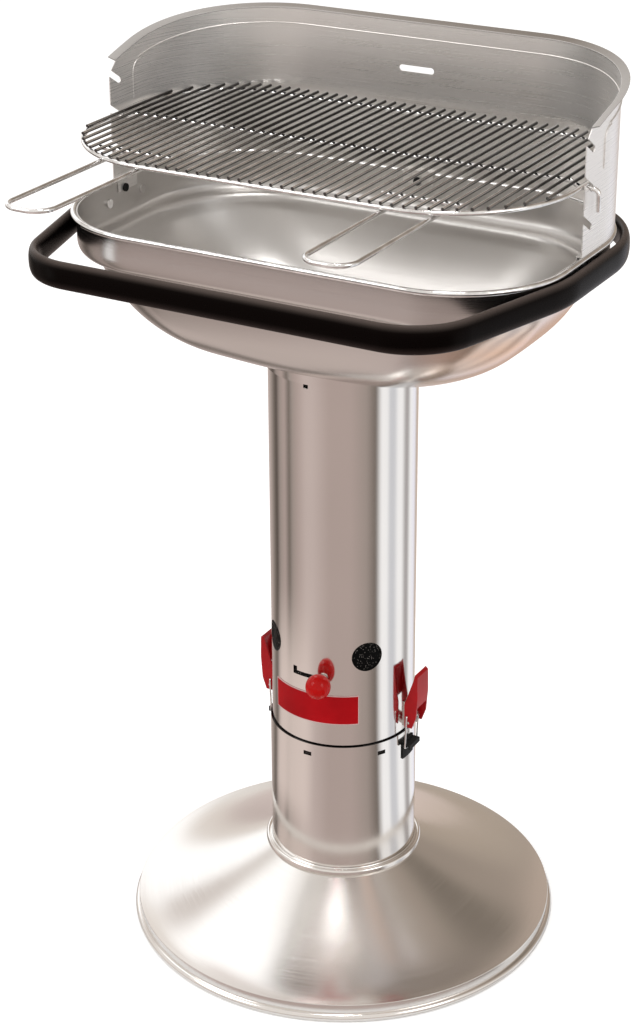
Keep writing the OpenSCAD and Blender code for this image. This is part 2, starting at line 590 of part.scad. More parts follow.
// Lip that is folded outwards along the shield's top edge
hem_section = [[-shield_t / 2, hem_fit], [shield_t / 2, hem_fit], [hem_w, hem_rise], [hem_w + 0.4, hem_rise + shield_t],
    [-shield_t / 2, shield_t + 0.3]];
function hem_path() = let (x = shield_x - shield_t / 2, y = shield_y - shield_t / 2, r = shield_corner - shield_t / 2,
    f = shield_front_y + chamfer, n = 18,
    flat = concat([for (i = [0:5]) [x, f + (y - r - f) * i / 5]],
        [for (i = [1:n]) [x - r + r * cos(90 * i / n), y - r + r * sin(90 * i / n)]], [[0, y]],
        [for (i = [0:n - 1]) [-x + r - r * sin(90 * i / n), y - r + r * cos(90 * i / n)]],
        [for (i = [5:-1:0]) [-x, f + (y - r - f) * i / 5]]))
    [for (p = flat) [p[0], p[1], top_z(p[1]) - hem_drop]];
module shield_hem() color(steel) swept(hem_path(), hem_section, false);

module shield_bolt() {
    cylinder(r = 4.5, h = 2.2, $fn = 32);
    cylinder(d = bolt_d, h = shield_t + sheet + fit + 4.7, $fn = 32);
    translate([0, 0, 2.2 + shield_t + sheet + fit + 0.1]) cylinder(r = 4.2, h = 2.2, $fn = 6);
}
module shield_bolt_side(s) color(dark_steel) mirror([s > 0 ? 0 : 1, 0, 0])
    translate([tab_x - shield_t - 2.3, bolt_y, bolt_z]) rotate([0, 90, 0]) shield_bolt();
module shield_bolt_back() color(dark_steel) translate([0, tab_y - shield_t - 2.3, bolt_z]) rotate([-90, 0, 0]) shield_bolt();

rail_section = concat([for (a = [0:20:180]) rail_w / 2 * [cos(a), sin(a)] + [0, (rail_h - rail_w) / 2]],
    [for (a = [180:20:360]) rail_w / 2 * [cos(a), sin(a)] - [0, (rail_h - rail_w) / 2]]);
module hand_rail() color(black) difference() {
    translate([0, 0, rail_z]) swept(bent_path(rail_path, rail_bends, true), rail_section, true);
    for (s = [-1, 1]) for (y = rail_mount_y) translate([s * (rail_x - rail_w), y, rail_z]) rotate([0, s * 90, 0])
        cylinder(d = bolt_d + 0.2, h = rail_w + 2, $fn = 32);
}
module rail_mount(s, k) color(chrome) mirror([s > 0 ? 0 : 1, 0, 0])
    translate([0, rail_mount_y[k], rail_z]) rotate([0, 90, 0]) {
        translate([0, 0, wall_x + 0.1]) cylinder(r = 6, h = rail_gap - 0.2, $fn = 32);
        translate([0, 0, wall_x - sheet - 2.5]) cylinder(d = bolt_d, h = sheet + 2.5 + rail_gap + rail_w / 2, $fn = 32);
        translate([0, 0, wall_x - sheet - 2.6]) cylinder(r = 5, h = 2.5, $fn = 32);
    }

// Cooking grate
module grate_frame() color(chrome) translate([0, 0, frame_z]) bent_bar(frame_path, frame_bends) wire(frame_d);
function shield_in(x) = let (d = abs(x) + rod_d / 2 - shield_x + shield_corner, r = shield_corner - shield_t)
    d <= 0 ? shield_y - shield_t : shield_y - shield_corner + sqrt(r * r - d * d);
function edge_y(x, r, depth) = let (d = abs(x) - (frame_x - r)) d <= 0 ? depth : depth - r + sqrt(r * r - d * d);
module grate_rods() color(chrome) {
    for (i = [0:rod_gaps]) let (x = (i - rod_gaps / 2) * rod_pitch, f = -edge_y(x, frame_rf, frame_f) - 1,
        b = min(edge_y(x, frame_rb, frame_b) + rod_tip, shield_in(x) - grate_gap - 0.3))
        translate([x, b, rod_z]) rotate([90, 0, 0]) cylinder(d = rod_d, h = b - f, $fn = 24);
}
cross_path = [[-hook_x, cross_low_z - hook_drop], [-hook_x, cross_low_z], [-frame_x + 9, cross_low_z],
    [-frame_x + 17, frame_z], [frame_x - 17, frame_z], [frame_x - 9, cross_low_z], [hook_x, cross_low_z],
    [hook_x, cross_low_z - hook_drop]];
module cross_rod() color(chrome) rotate([90, 0, 0])
    swept(bent_path(cross_path, [0, 6, 8, 8, 8, 8, 6, 0], false), round_section(frame_d / 2, 16), false);
root_y = -frame_f + handle_in;
module short_rod(s) color(chrome)
    translate([s * handle_x - handle_shift - handle_w / 2 - 20, root_y - frame_d, frame_z]) rotate([0, 90, 0])
    cylinder(d = frame_d, h = handle_w + 40, $fn = 32);
module handle(s) color(chrome) translate([s * handle_x - handle_shift, 0, frame_z - frame_d - 2 * weld])
    let (w = handle_w / 2, t = -frame_f - handle_reach)
    bent_bar([[-w, root_y], [-w, t], [w, t], [w, root_y]], [0, 20, 20, 0], false) wire(frame_d);

// Charcoal grate, which lies on the bowl's floor round the neck
floor_b = (wall_y - fold_in - coal_wire_r) / (wall_y - fold_in - neck_r);
coal_z = flow_z(floor_b) + sheet + coal_d / 2 + 0.9;
module charcoal_grate() color(dark_steel) {
    translate([0, 0, coal_z]) rotate_extrude() translate([coal_wire_r, 0]) circle(d = coal_d, $fn = 32);
    for (i = [-4:4]) let (x = i * (coal_r - 15) / 4.4, l = sqrt(coal_wire_r * coal_wire_r - x * x))
        translate([x, l, coal_z + coal_d - 0.6]) rotate([90, 0, 0]) cylinder(d = coal_d, h = 2 * l, $fn = 24);
}

foot_dish();
foot_edge();
foot_neck();
foot_clamp();
foot_screw(0);  // foot_screw_1
foot_screw(1);  // foot_screw_2
foot_screw(2);  // foot_screw_3
foot_screw(3);  // foot_screw_4
lower_column();
ash_pail();
upper_column();
name_plate();
clip_base(-1);  // clip_base_left
clip_base(1);  // clip_base_right
clip_pin(-1);  // clip_pin_left
clip_pin(1);  // clip_pin_right
clip_keeper(-1);  // clip_keeper_left
clip_keeper(1);  // clip_keeper_right
clip_lever(-1);  // clip_lever_left
clip_lever(1);  // clip_lever_right
clip_bail(-1);  // clip_bail_left
clip_bail(1);  // clip_bail_right
air_sleeve();
valve_stem();
valve_ferrule();
valve_knob();
bowl_neck();
neck_screw(0);  // neck_screw_1
neck_screw(1);  // neck_screw_2
neck_screw(2);  // neck_screw_3
neck_screw(3);  // neck_screw_4
bowl();
bowl_rim();
charcoal_grate();
wind_shield();
shield_hem();
shield_bolt_side(-1);  // shield_bolt_left
shield_bolt_side(1);  // shield_bolt_right
shield_bolt_back();
hand_rail();
rail_mount(-1, 0);  // rail_mount_left_front
rail_mount(-1, 1);  // rail_mount_left_back
rail_mount(1, 0);  // rail_mount_right_front
rail_mount(1, 1);  // rail_mount_right_back
grate_frame();
grate_rods();
cross_rod();
short_rod(-1);  // short_rod_left
short_rod(1);  // short_rod_right
handle(-1);  // handle_left
handle(1);  // handle_right
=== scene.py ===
"""Charcoal grill on a column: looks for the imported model, laid out as an add-on and run as a script."""

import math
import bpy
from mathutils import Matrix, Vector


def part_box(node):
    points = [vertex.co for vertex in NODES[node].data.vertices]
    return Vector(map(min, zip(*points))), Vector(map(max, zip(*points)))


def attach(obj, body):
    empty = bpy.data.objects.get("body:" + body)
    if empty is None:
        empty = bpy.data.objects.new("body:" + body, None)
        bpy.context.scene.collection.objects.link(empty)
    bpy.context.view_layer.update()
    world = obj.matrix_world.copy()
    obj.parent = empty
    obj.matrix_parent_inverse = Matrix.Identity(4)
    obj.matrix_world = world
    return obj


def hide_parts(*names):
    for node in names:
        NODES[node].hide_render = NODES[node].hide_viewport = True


bl_info = {
    "name": "Column charcoal grill",
    "version": (1, 0, 0),
    "blender": (4, 5, 0),
    "location": "View3D > Sidebar > Grill",
    "description": "Builds the pieces and finishes of a charcoal grill on a round column",
    "category": "Add Mesh",
}

import bmesh
import bpy
import numpy as np
from bpy.props import FloatProperty, FloatVectorProperty, IntProperty, PointerProperty
from bpy.types import NodeSocket, Operator, Panel, PropertyGroup
from mathutils import Matrix, Vector

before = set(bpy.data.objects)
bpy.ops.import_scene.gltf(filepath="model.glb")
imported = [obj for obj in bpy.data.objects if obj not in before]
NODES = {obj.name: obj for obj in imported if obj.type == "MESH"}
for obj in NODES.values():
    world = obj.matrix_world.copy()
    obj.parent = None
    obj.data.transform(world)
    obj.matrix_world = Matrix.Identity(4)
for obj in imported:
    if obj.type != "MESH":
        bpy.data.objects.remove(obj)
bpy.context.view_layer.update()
MM = 0.001

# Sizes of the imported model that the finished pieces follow, in millimetres
# Foot: outer radius, its rolled edge, the dish's edge and top, and how hollow its slope is
FOOT_R = 246.5
FOOT_BEAD = 5.0
FOOT_FLAT = 0.4
FOOT_LOW_Z = 9.0
FOOT_EDGE_Z = 21.0
FOOT_TOP_Z = 87.0
FOOT_GAP = 2.5
FOOT_HOLLOW = 1.35
# Column: outer radii of its halves, sheet, seam, and the turn of its plate and holes in degrees
LOWER_R = 83.0
UPPER_R = 81.0
SHEET = 1.5
SEAM_LOW = 252.0
SEAM_HIGH = 253.9
PLATE_R = 81.8
PLATE_HALF_TURN = 38.2
PLATE_BORDER = 1.0
FRONT_TURN = 3.0
# Air valve: azimuth and height of the knob, its ball and the ball's distance from the axis
KNOB_AZ = 13.0
SLOT_Z = 337.5
BALL_R = 14.0
BALL_OUT = 100.0
BALL_POLE = 84.0
STEM_R = 2.25
# Clips: width of the lever, and the bail's wire with its two ends as distance from the axis and height
LEVER_W = 26.0
BAIL_D = 2.0
BAIL_GAP = 1.6
BAIL_TOP = (89.0, 276.0)
BAIL_LOW = (LOWER_R + 4.4, 235.0)
# Bowl: half lengths, corner radii and height of its rim, its wall, and the slope down to the neck
RIM_X = 278.5
RIM_Y = 176.5
RIM_Z = 843.0
RIM_FRONT_R = 120.0
RIM_BACK_R = 140.0
BEAD = 3.0
WALL_H = 31.0
FOLD_IN = 17.0
FOLD_DROP = 13.0
FLOW_N = 1.28
FLOW_M = 3.0
FLOW_STEPS = (0.03, 0.06, 0.10, 0.14, 0.19, 0.24, 0.30, 0.36, 0.43, 0.5, 0.58, 0.66, 0.74, 0.83, 0.92, 1.0)
NECK_R = 84.5
NECK_FIT = 0.6
BOTTOM_Z = 702.0
# Wind shield: sheet, front end, top edge with its rise and bend, outline and folded lip
SHIELD_T = 1.2
SHIELD_FRONT = -17.0
SHIELD_TOP = 979.0
SHIELD_RISE = 0.285
SHIELD_FLAT = 0.00058
SHIELD_X = RIM_X - BEAD + SHIELD_T / 2
SHIELD_Y = RIM_Y - BEAD + SHIELD_T / 2
SHIELD_R = RIM_BACK_R - BEAD + SHIELD_T / 2
HEM_W = 8.0
HEM_RISE = 2.8
HEM_DROP = 4.2
CHAMFER = 12.0
# Pressed line of the shield: below its top, behind its front end, its bend, its lower end and its two wires
PRESS_DROP = 20.0
PRESS_FRONT = 27.0
PRESS_BEND = 14.0
PRESS_LOW_Z = 926.0
PRESS_INNER_D = 1.4
PRESS_OUTER_D = 2.0
# Hand rail: section, height, and the corners of its path with their bends
RAIL_W = 11.0
RAIL_H = 29.0
RAIL_X = 281.0
RAIL_Z = 824.4
RAIL_PATH = ((-230, -253), (230, -253), (RAIL_X, 113 - RIM_Y), (RAIL_X, RIM_Y + 17), (-RAIL_X, RIM_Y + 17),
             (-RAIL_X, 113 - RIM_Y))
RAIL_BENDS = (70, 70, 180, 141, 141, 180)
RAIL_ROUND = 0.85
# Cooking grate: half lengths and corner radii of its frame, heights of its wires, rods, handles and hooks
FRAME_X = 271.4
FRAME_FRONT = 165.0
FRAME_BACK = 145.9
FRAME_FRONT_R = 132.0
FRAME_BACK_R = 102.0
LOW_Z = 912.3
FRAME_Z = 917.4
ROD_Z = 921.7
WIRE_D = 5.0
ROD_D = 3.5
ROD_GAPS = 44
ROD_MARGIN = 7.5
ROD_PAST_BACK = 12.0
HANDLE_X = 164.0
HANDLE_SHIFT = 7.0
HANDLE_W = 51.0
HANDLE_TIP = -322.0
HANDLE_ROOT = -119.0
HANDLE_BEND = 20.0
SHORT_ROD_EXTRA = 20.0
HOOK_OUT = 7.5
HOOK_DROP = 22.0
# Camera: azimuth, distance, height, tilt, yaw and roll, in metres and degrees
CAMERA = (29.07, 2.3002, 1.5780, 25.04, 0.75, -0.32)
# Lamps: name, place, target, size and power
LAMPS = (
    ("key", (-2.2, -2.4, 3.0), (0, 0, 0.6), 2.2, 34),
    ("side", (2.8, -0.8, 2.2), (0, 0, 0.6), 1.6, 14),
    ("top", (0.1, -0.3, 3.4), (0, 0, 0.8), 0.5, 16),
)
# Floor: half size, the camera's extra white, and the card's inner and outer radius and height, in metres
FLOOR_HALF = 9.0
FLOOR_WHITE = 0.42
CARD_RADII = (0.262, 5.0)
CARD_Z = 0.0015
DOME_R = 6.0
DOME_LOW = -0.5
# Studio sky: azimuth, elevation, inner and outer width in degrees, colour
SKY_BASE = (0.86, 0.82, 0.78)
SKY_LOBES = (
    (165, 38, 20, 56, (0.37, 0.31, 0.26)),
    (-168, 2, 6, 26, (0.46, 0.385, 0.315)),
    (-172, 33, 3, 12, (0.54, 0.44, 0.37)),
    (163, 45, 3, 14, (0.20, 0.17, 0.14)),
    (-176, 60, 3, 14, (0.24, 0.20, 0.17)),
    (-154, 69, 2, 9, (0.42, 0.365, 0.32)),
    (157, 73, 2, 7, (0.95, 0.88, 0.87)),
    (-124, 24, 9, 22, (1.35, 1.35, 1.35)),
    (-129, 42, 3, 12, (0.80, 0.73, 0.67)),
    (-108, 56, 10, 20, (1.45, 1.45, 1.45)),
    (-127, 55, 2, 7, (0.82, 0.74, 0.70)),
    (-92, 81, 2, 6, (0.60, 0.48, 0.47)),
    (-112, 36, 2, 9, (0.60, 0.53, 0.49)),
    (-132, 2, 4, 12, (0.80, 0.73, 0.67)),
)
# Tones of the cards on the studio floor, and where round the column each begins or ends, in degrees
CARD_TONES = {
    "white": (1.02, 1.02, 1.03),
    "cool": (0.92, 0.92, 1.02),
    "grey": (0.68, 0.69, 0.73),
    "shade": (0.44, 0.42, 0.42),
    "pale": (0.60, 0.50, 0.47),
    "warm": (0.48, 0.39, 0.36),
    "brown": (0.38, 0.32, 0.29),
    "deep": (0.18, 0.15, 0.13),
    "dark": (0.10, 0.08, 0.07),
    "pink": (0.80, 0.67, 0.62),
    "olive": (0.54, 0.44, 0.36),
}
FLOOR_CARDS = (
    (-180, "olive"), (-160, "pink"), (-131, "pale"), (-112, "brown"), (-100, "deep"), (-93, "dark"),
    (-83, "brown"), (-71, "warm"), (-61, "deep"), (-54, "brown"), (-44, "warm"), (-29, "pale"),
    (-18, "pale"), (8, "warm"), (40, "warm"), (64, "brown"), (79, "deep"), (88, "white"), (98, "white"),
    (104, "grey"), (112, "grey"), (120, "white"), (129, "white"), (138, "shade"), (144, "shade"),
    (152, "white"), (168, "cool"), (180, "olive"),
)
# Zones of the floor card: azimuth, inner and outer half width, inner and outer edge in metres, share, colour
FLOOR_ZONES = (
    (-56, (21.5, 44.0), (0.24, 0.36), (0.60, 0.95), 0.80, (0.82, 0.70, 0.65)),
    (-55, (3.0, 8.0), (2.0, 2.4), (8.0, 9.0), 1.0, (1.25, 1.25, 1.25)),
)


# Sizes and colours that a user may change
def colour_property(name, description, default):
    """A colour that a user may change."""
    return FloatVectorProperty(name=name, description=description, subtype="COLOR", size=3, min=0, max=1,
                               default=default)


class GrillSteel(PropertyGroup):
    """Finish of the stainless sheet"""
    tint: colour_property("Steel colour", "Base colour of the stainless steel", (0.86, 0.835, 0.81))
    polish: FloatProperty(name="Column roughness", description="Roughness of the polished column",
                          min=0.02, max=0.6, default=0.12)
    satin: FloatProperty(name="Bowl roughness", description="Roughness of the satin bowl",
                         min=0.05, max=0.7, default=0.36)


class GrillPaint(PropertyGroup):
    """Colours of the painted and moulded pieces"""
    lacquer: colour_property("Red lacquer", "Colour of the levers and the plate", (0.40, 0.0025, 0.006))
    knob: colour_property("Knob", "Colour of the ball knob", (0.50, 0.003, 0.003))
    rail: colour_property("Hand rail", "Colour of the hand rail", (0.0012, 0.0006, 0.0005))


class GrillGrate(PropertyGroup):
    """Wires of the cooking grate"""
    rod: FloatProperty(name="Rod diameter", description="Diameter of a rod of the grate",
                       subtype="DISTANCE", unit="LENGTH", min=0.002, max=0.006, default=ROD_D * MM)
    wire: FloatProperty(name="Frame wire", description="Diameter of the grate's frame wire",
                        subtype="DISTANCE", unit="LENGTH", min=0.003, max=0.008, default=WIRE_D * MM)
    gaps: IntProperty(name="Gaps", description="Number of gaps between the rods",
                      min=20, max=60, default=ROD_GAPS)


class GrillStage(PropertyGroup):
    """Camera and light"""
    lens: FloatProperty(name="Lens", description="Focal length of the camera in millimetres",
                        min=20, max=200, default=81.18)
    fill: FloatProperty(name="Sky level", description="Strength of the even light of the studio",
                        min=0, max=2, default=0.72)


class GrillSettings(PropertyGroup):
    """All settings of the grill"""
    steel: PointerProperty(type=GrillSteel)
    paint: PointerProperty(type=GrillPaint)
    grate: PointerProperty(type=GrillGrate)
    stage: PointerProperty(type=GrillStage)


# Meshes
def add_object(name, data):
    """An object with this data, put in the scene."""
    thing = bpy.data.objects.new(name, data)
    bpy.context.scene.collection.objects.link(thing)
    return thing


def raw_mesh(name, verts, edges, faces):
    """A mesh in metres from points in millimetres."""
    mesh = bpy.data.meshes.new(name)
    mesh.from_pydata([tuple(float(c) * MM for c in v) for v in verts], edges, faces)
    return mesh


def new_piece(name, verts, faces, material, smooth=40.0):
    """A piece with these points in millimetres and these faces."""
    mesh = raw_mesh(name, verts, [], [tuple(int(i) for i in face) for face in faces])
    tidy_mesh(mesh, smooth, recalc=True)
    mesh.materials.append(material)
    return add_object(name, mesh)


def tidy_mesh(mesh, angle, recalc=False):
    """Merges doubles, turns faces outwards and marks the edges that are sharper than the angle."""
    work = bmesh.new()
    work.from_mesh(mesh)
    bmesh.ops.remove_doubles(work, verts=work.verts, dist=2e-6)
    if recalc:
        bmesh.ops.recalc_face_normals(work, faces=work.faces)
    limit = math.radians(angle)
    for face in work.faces:
        face.smooth = True
    for edge in work.edges:
        edge.smooth = len(edge.link_faces) == 2 and edge.calc_face_angle(0) < limit
    work.to_mesh(mesh)
    work.free()


def stand_in(piece, node, body="stand"):
    """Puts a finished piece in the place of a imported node."""
    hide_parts(node)
    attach(piece, body)


def grid_faces(rings, points, wrap_rings, wrap_points=True):
    """Quads of a grid of rings, each with the same number of points."""
    faces = []
    for i in range(rings if wrap_rings else rings - 1):
        here = i * points
        there = (i + 1) % rings * points
        for k in range(points if wrap_points else points - 1):
            after = (k + 1) % points
            faces.append((here + k, there + k, there + after, here + after))
    return faces


def lathe(name, profile, material, segments=192, smooth=40.0, closed=True):
    """A profile of (radius, height) turned round the upright axis."""
    verts = []
    for i in range(segments):
        turn = 2 * math.pi * i / segments
        verts += [(r * math.cos(turn), r * math.sin(turn), z) for r, z in profile]
    return new_piece(name, verts, grid_faces(segments, len(profile), True, closed), material, smooth)


def arc(cx, cy, r, start, end, n):
    """Points of an arc from one angle to another in degrees."""
    turns = [math.radians(start + (end - start) * i / n) for i in range(n + 1)]
    return [(cx + r * math.cos(t), cy + r * math.sin(t)) for t in turns]


def straight(p, q, k):
    """The points between two ends that cut their line in k parts."""
    return [(p[0] + (q[0] - p[0]) * i / k, p[1] + (q[1] - p[1]) * i / k) for i in range(1, k)]


def bent_path(points, radii, closed, step=4.0):
    """Points of a path in a plane with a round bend at each corner."""
    out = []
    n = len(points)
    for i, corner in enumerate(points):
        if not closed and i in (0, n - 1):
            out.append(corner)
            continue
        before = points[i - 1]
        after = points[(i + 1) % n]
        a = math.atan2(corner[1] - before[1], corner[0] - before[0])
        b = math.atan2(after[1] - corner[1], after[0] - corner[0])
        turn = (math.degrees(b - a) + 180) % 360 - 180
        side = 1 if turn > 0 else -1
        r = radii[i]
        cut = r * math.tan(math.radians(abs(turn)) / 2)
        cx = corner[0] - cut * math.cos(a) - side * r * math.sin(a)
        cy = corner[1] - cut * math.sin(a) + side * r * math.cos(a)
        start = math.degrees(a) - 90 * side
        out += arc(cx, cy, r, start, start + turn, max(2, math.ceil(abs(turn) / step)))
    return out


def oblong(x, y, rf, rb, n=24, sides=10, runs=28):
    """Outline of the bowl with its own corner radii at the front and at the back."""
    return np.array(
        arc(x - rf, -y + rf, rf, -90, 0, n) + straight((x, -y + rf), (x, y - rb), sides)
        + arc(x - rb, y - rb, rb, 0, 90, n) + straight((x - rb, y), (-x + rb, y), runs)
        + arc(-x + rb, y - rb, rb, 90, 180, n) + straight((-x, y - rb), (-x, -y + rf), sides)
        + arc(-x + rf, -y + rf, rf, 180, 270, n) + straight((-x + rf, -y), (x - rf, -y), runs))


def swept(name, path, section, closed, material, smooth):
    """A section swept along points; its first number points to the right of the path and its second up."""
    p = np.array(path, float)
    n = len(p)
    verts = []
    for i in range(n):
        a = p[i] - p[i - 1] if closed or i else np.zeros(3)
        b = p[(i + 1) % n] - p[i] if closed or i < n - 1 else np.zeros(3)
        along = a / (np.linalg.norm(a) or 1) + b / (np.linalg.norm(b) or 1)
        along /= np.linalg.norm(along)
        side = np.cross(along, (0, 0, 1))
        side /= np.linalg.norm(side)
        up = np.cross(side, along)
        verts += [tuple(p[i] + x * side + y * up) for x, y in section]
    m = len(section)
    faces = grid_faces(n, m, closed)
    if not closed:
        faces += [tuple(range(m)), tuple(range((n - 1) * m, n * m))]
    return new_piece(name, verts, faces, material, smooth)


def node_copy(node, material, body="stand", angle=35.0, rule=None):
    """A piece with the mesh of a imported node, its doubles merged, and normals by a rule if one is given."""
    mesh = NODES[node].data.copy()
    mesh.name = node + "_finish"
    piece = add_object(mesh.name, mesh)
    tidy_mesh(mesh, angle)
    mesh.materials.clear()
    mesh.materials.append(material)
    if rule:
        set_normals(mesh, rule)
    stand_in(piece, node, body)


def set_normals(mesh, rule, match=0.86):
    """Gives each corner the rule's normal where its face lies along the rule's wall."""
    count = len(mesh.loops)
    loops = np.zeros(count, np.int32)
    mesh.loops.foreach_get("vertex_index", loops)
    points = np.zeros(len(mesh.vertices) * 3)
    mesh.vertices.foreach_get("co", points)
    points = points.reshape(-1, 3)[loops]
    own = np.zeros(count * 3)
    mesh.corner_normals.foreach_get("vector", own)
    own = own.reshape(-1, 3)
    face = np.zeros((count, 3))
    for poly in mesh.polygons:
        face[poly.loop_start:poly.loop_start + poly.loop_total] = poly.normal
    wanted = rule(points / MM)
    near = (wanted * face).sum(1)
    keep = np.abs(near) > match
    own[keep] = wanted[keep] * np.sign(near[keep])[:, None]
    mesh.normals_split_custom_set([tuple(v) for v in own])


def radial(points):
    """Normals of the column's round walls."""
    out = np.zeros_like(points)
    out[:, :2] = points[:, :2] / np.hypot(points[:, 0], points[:, 1])[:, None]
    return out


def wall_normals(points):
    """Normals of the wind shield, straight at the sides and round at the back corners."""
    out = np.zeros_like(points)
    cx = SHIELD_X - SHIELD_R
    cy = SHIELD_Y - SHIELD_R
    sign = np.sign(points[:, 0])
    dx = np.where(np.abs(points[:, 0]) > cx, points[:, 0] - sign * cx, 0.0)
    dy = np.where(points[:, 1] > cy, points[:, 1] - cy, 0.0)
    corner = (np.abs(dx) > 0) & (dy > 0)
    length = np.hypot(dx, dy) + 1e-9
    out[:, 0] = np.where(corner, dx / length, np.where(dy > 0, 0.0, sign))
    out[:, 1] = np.where(corner, dy / length, np.where(dy > 0, 1.0, 0.0))
    return out


# Node trees
class Nodes:
    """A node tree under construction."""

    def __init__(self, tree):
        self.tree = tree

    def node(self, kind, **settings):
        """A new node with these settings."""
        node = self.tree.nodes.new(kind)
        for key, value in settings.items():
            setattr(node, key, value)
        return node

    def feed(self, socket, value):
        """Links an output to an input, or sets the input to a value."""
        if isinstance(value, NodeSocket):
            self.tree.links.new(value, socket)
        elif socket.type == "RGBA":
            socket.default_value = (*value, 1)
        else:
            socket.default_value = value

    def add(self, kind, inputs, output=0, **settings):
        """Adds a node with these inputs and settings and gives one of its outputs."""
        node = self.node(kind, **settings)
        for key, value in inputs.items():
            self.feed(node.inputs[key], value)
        return node.outputs[output]

    def calc(self, operation, *values):
        """One step of arithmetic."""
        return self.add("ShaderNodeMath", dict(enumerate(values)), operation=operation)

    def times(self, a, b):
        return self.calc("MULTIPLY", a, b)

    def plus(self, a, b):
        return self.calc("ADD", a, b)

    def larger(self, a, b):
        return self.calc("MAXIMUM", a, b)

    def place(self):
        """Object coordinates."""
        return self.node("ShaderNodeTexCoord").outputs["Object"]

    def split(self, vector):
        """The three parts of a vector."""
        node = self.node("ShaderNodeSeparateXYZ")
        self.feed(node.inputs[0], vector)
        return tuple(node.outputs)

    def join(self, x, y, z):
        """A vector from its three parts."""
        return self.add("ShaderNodeCombineXYZ", {0: x, 1: y, 2: z})

    def radius(self, x, y):
        """Distance from the upright axis."""
        return self.calc("SQRT", self.plus(self.times(x, x), self.times(y, y)))

    def span(self, value, a, b, c, d, **settings):
        """Maps a..b to c..d, and no further."""
        return self.add("ShaderNodeMapRange", dict(enumerate((value, a, b, c, d))), **settings)

    def soft(self, value, a, b, c, d):
        """Maps a..b to c..d with soft ends."""
        return self.span(value, a, b, c, d, interpolation_type="SMOOTHSTEP")

    def cone(self, vector, axis, inner, outer):
        """One inside an angle round an axis and nought outside a wider one, both in degrees."""
        dot = self.add("ShaderNodeVectorMath", {0: vector, 1: axis}, "Value", operation="DOT_PRODUCT")
        return self.soft(dot, math.cos(math.radians(outer)), math.cos(math.radians(inner)), 0, 1)

    def noise(self, vector, scale, detail, rough):
        """Soft random tones."""
        inputs = {"Vector": vector, "Scale": scale, "Detail": detail, "Roughness": rough}
        return self.add("ShaderNodeTexNoise", inputs, "Fac")

    def blend(self, factor, a, b):
        """Mixes two colours."""
        return self.add("ShaderNodeMix", {0: factor, 6: a, 7: b}, 2, data_type="RGBA")


def wire_tree():
    """Builds the node tree that turns the edges of a mesh into round wires."""
    found = bpy.data.node_groups.get("bent_wire")
    if found:
        return found
    tree = bpy.data.node_groups.new("bent_wire", "GeometryNodeTree")
    face = tree.interface
    face.new_socket("Path", in_out="INPUT", socket_type="NodeSocketGeometry")
    face.new_socket("Diameter", in_out="INPUT", socket_type="NodeSocketFloat").default_value = 0.005
    face.new_socket("Sides", in_out="INPUT", socket_type="NodeSocketInt").default_value = 16
    face.new_socket("Finish", in_out="INPUT", socket_type="NodeSocketMaterial")
    face.new_socket("Wire", in_out="OUTPUT", socket_type="NodeSocketGeometry")
    g = Nodes(tree)
    given = g.node("NodeGroupInput").outputs
    radius = g.times(given["Diameter"], 0.5)
    curve = g.add("GeometryNodeMeshToCurve", {"Mesh": given["Path"]})
    ring = g.add("GeometryNodeCurvePrimitiveCircle", {"Resolution": given["Sides"], "Radius": radius})
    tube = g.add("GeometryNodeCurveToMesh", {"Curve": curve, "Profile Curve": ring, "Fill Caps": True})
    real = g.add("GeometryNodeRealizeInstances", {"Geometry": tube})
    painted = g.add("GeometryNodeSetMaterial", {"Geometry": real, "Material": given["Finish"]})
    g.feed(g.node("NodeGroupOutput").inputs["Wire"], painted)
    return tree


def through_tree(name, mesh, tree, values, smooth):
    """Runs a node tree on a mesh and returns the result as a plain mesh piece."""
    source = add_object(mesh.name, mesh)
    modifier = source.modifiers.new("nodes", "NODES")
    modifier.node_group = tree
    for item in tree.interface.items_tree:
        if item.in_out == "INPUT" and item.name in values:
            modifier[item.identifier] = values[item.name]
    bpy.context.view_layer.update()
    depsgraph = bpy.context.evaluated_depsgraph_get()
    result = bpy.data.meshes.new_from_object(source.evaluated_get(depsgraph), depsgraph=depsgraph)
    source.modifiers.remove(modifier)
    bpy.data.objects.remove(source)
    result.name = name
    tidy_mesh(result, smooth)
    return add_object(name, result)


def wires(name, paths, diameter, finish, closed=False, sides=20):
    """One piece of round wire along each path of points in millimetres."""
    verts = []
    edges = []
    for path in paths:
        base = len(verts)
        verts += path
        edges += [(base + i, base + i + 1) for i in range(len(path) - 1)]
        if closed:
            edges.append((base + len(path) - 1, base))
    values = {"Diameter": diameter, "Sides": sides, "Finish": finish}
    return through_tree(name, raw_mesh(name + "_path", verts, edges, []), wire_tree(), values, 50.0)


# Painted warm reflection low on the bowl's right side: where it begins and where it is full, across and down,
# in metres
WARM_REFLECTION_X = (0.15, 0.25)
WARM_REFLECTION_Z = (0.80, 0.765)
# Wind shield and lip: distances from the middle between which their metallic share falls, in metres
SIDES = (0.17, 0.265)


# Finishes
class Finish(Nodes):
    """A node material under construction."""

    def __init__(self, name, base, metallic, roughness, specular=0.5):
        self.material = bpy.data.materials.new(name)
        self.material.use_nodes = True
        super().__init__(self.material.node_tree)
        self.surface = self.tree.nodes["Principled BSDF"]
        self.shade("Base Color", base)
        self.shade("Metallic", metallic)
        self.shade("Roughness", roughness)
        self.shade("Specular IOR Level", specular)

    def shade(self, name, value):
        """Sets or links an input of the surface."""
        self.feed(self.surface.inputs[name], value)

    def bump(self, height, strength, distance):
        """Raises the surface a little where the height is large."""
        inputs = {"Strength": strength, "Distance": distance, "Height": height}
        self.shade("Normal", self.add("ShaderNodeBump", inputs))


def toned(colour, share):
    """A colour made darker or lighter."""
    return tuple(min(1.0, c * share) for c in colour)


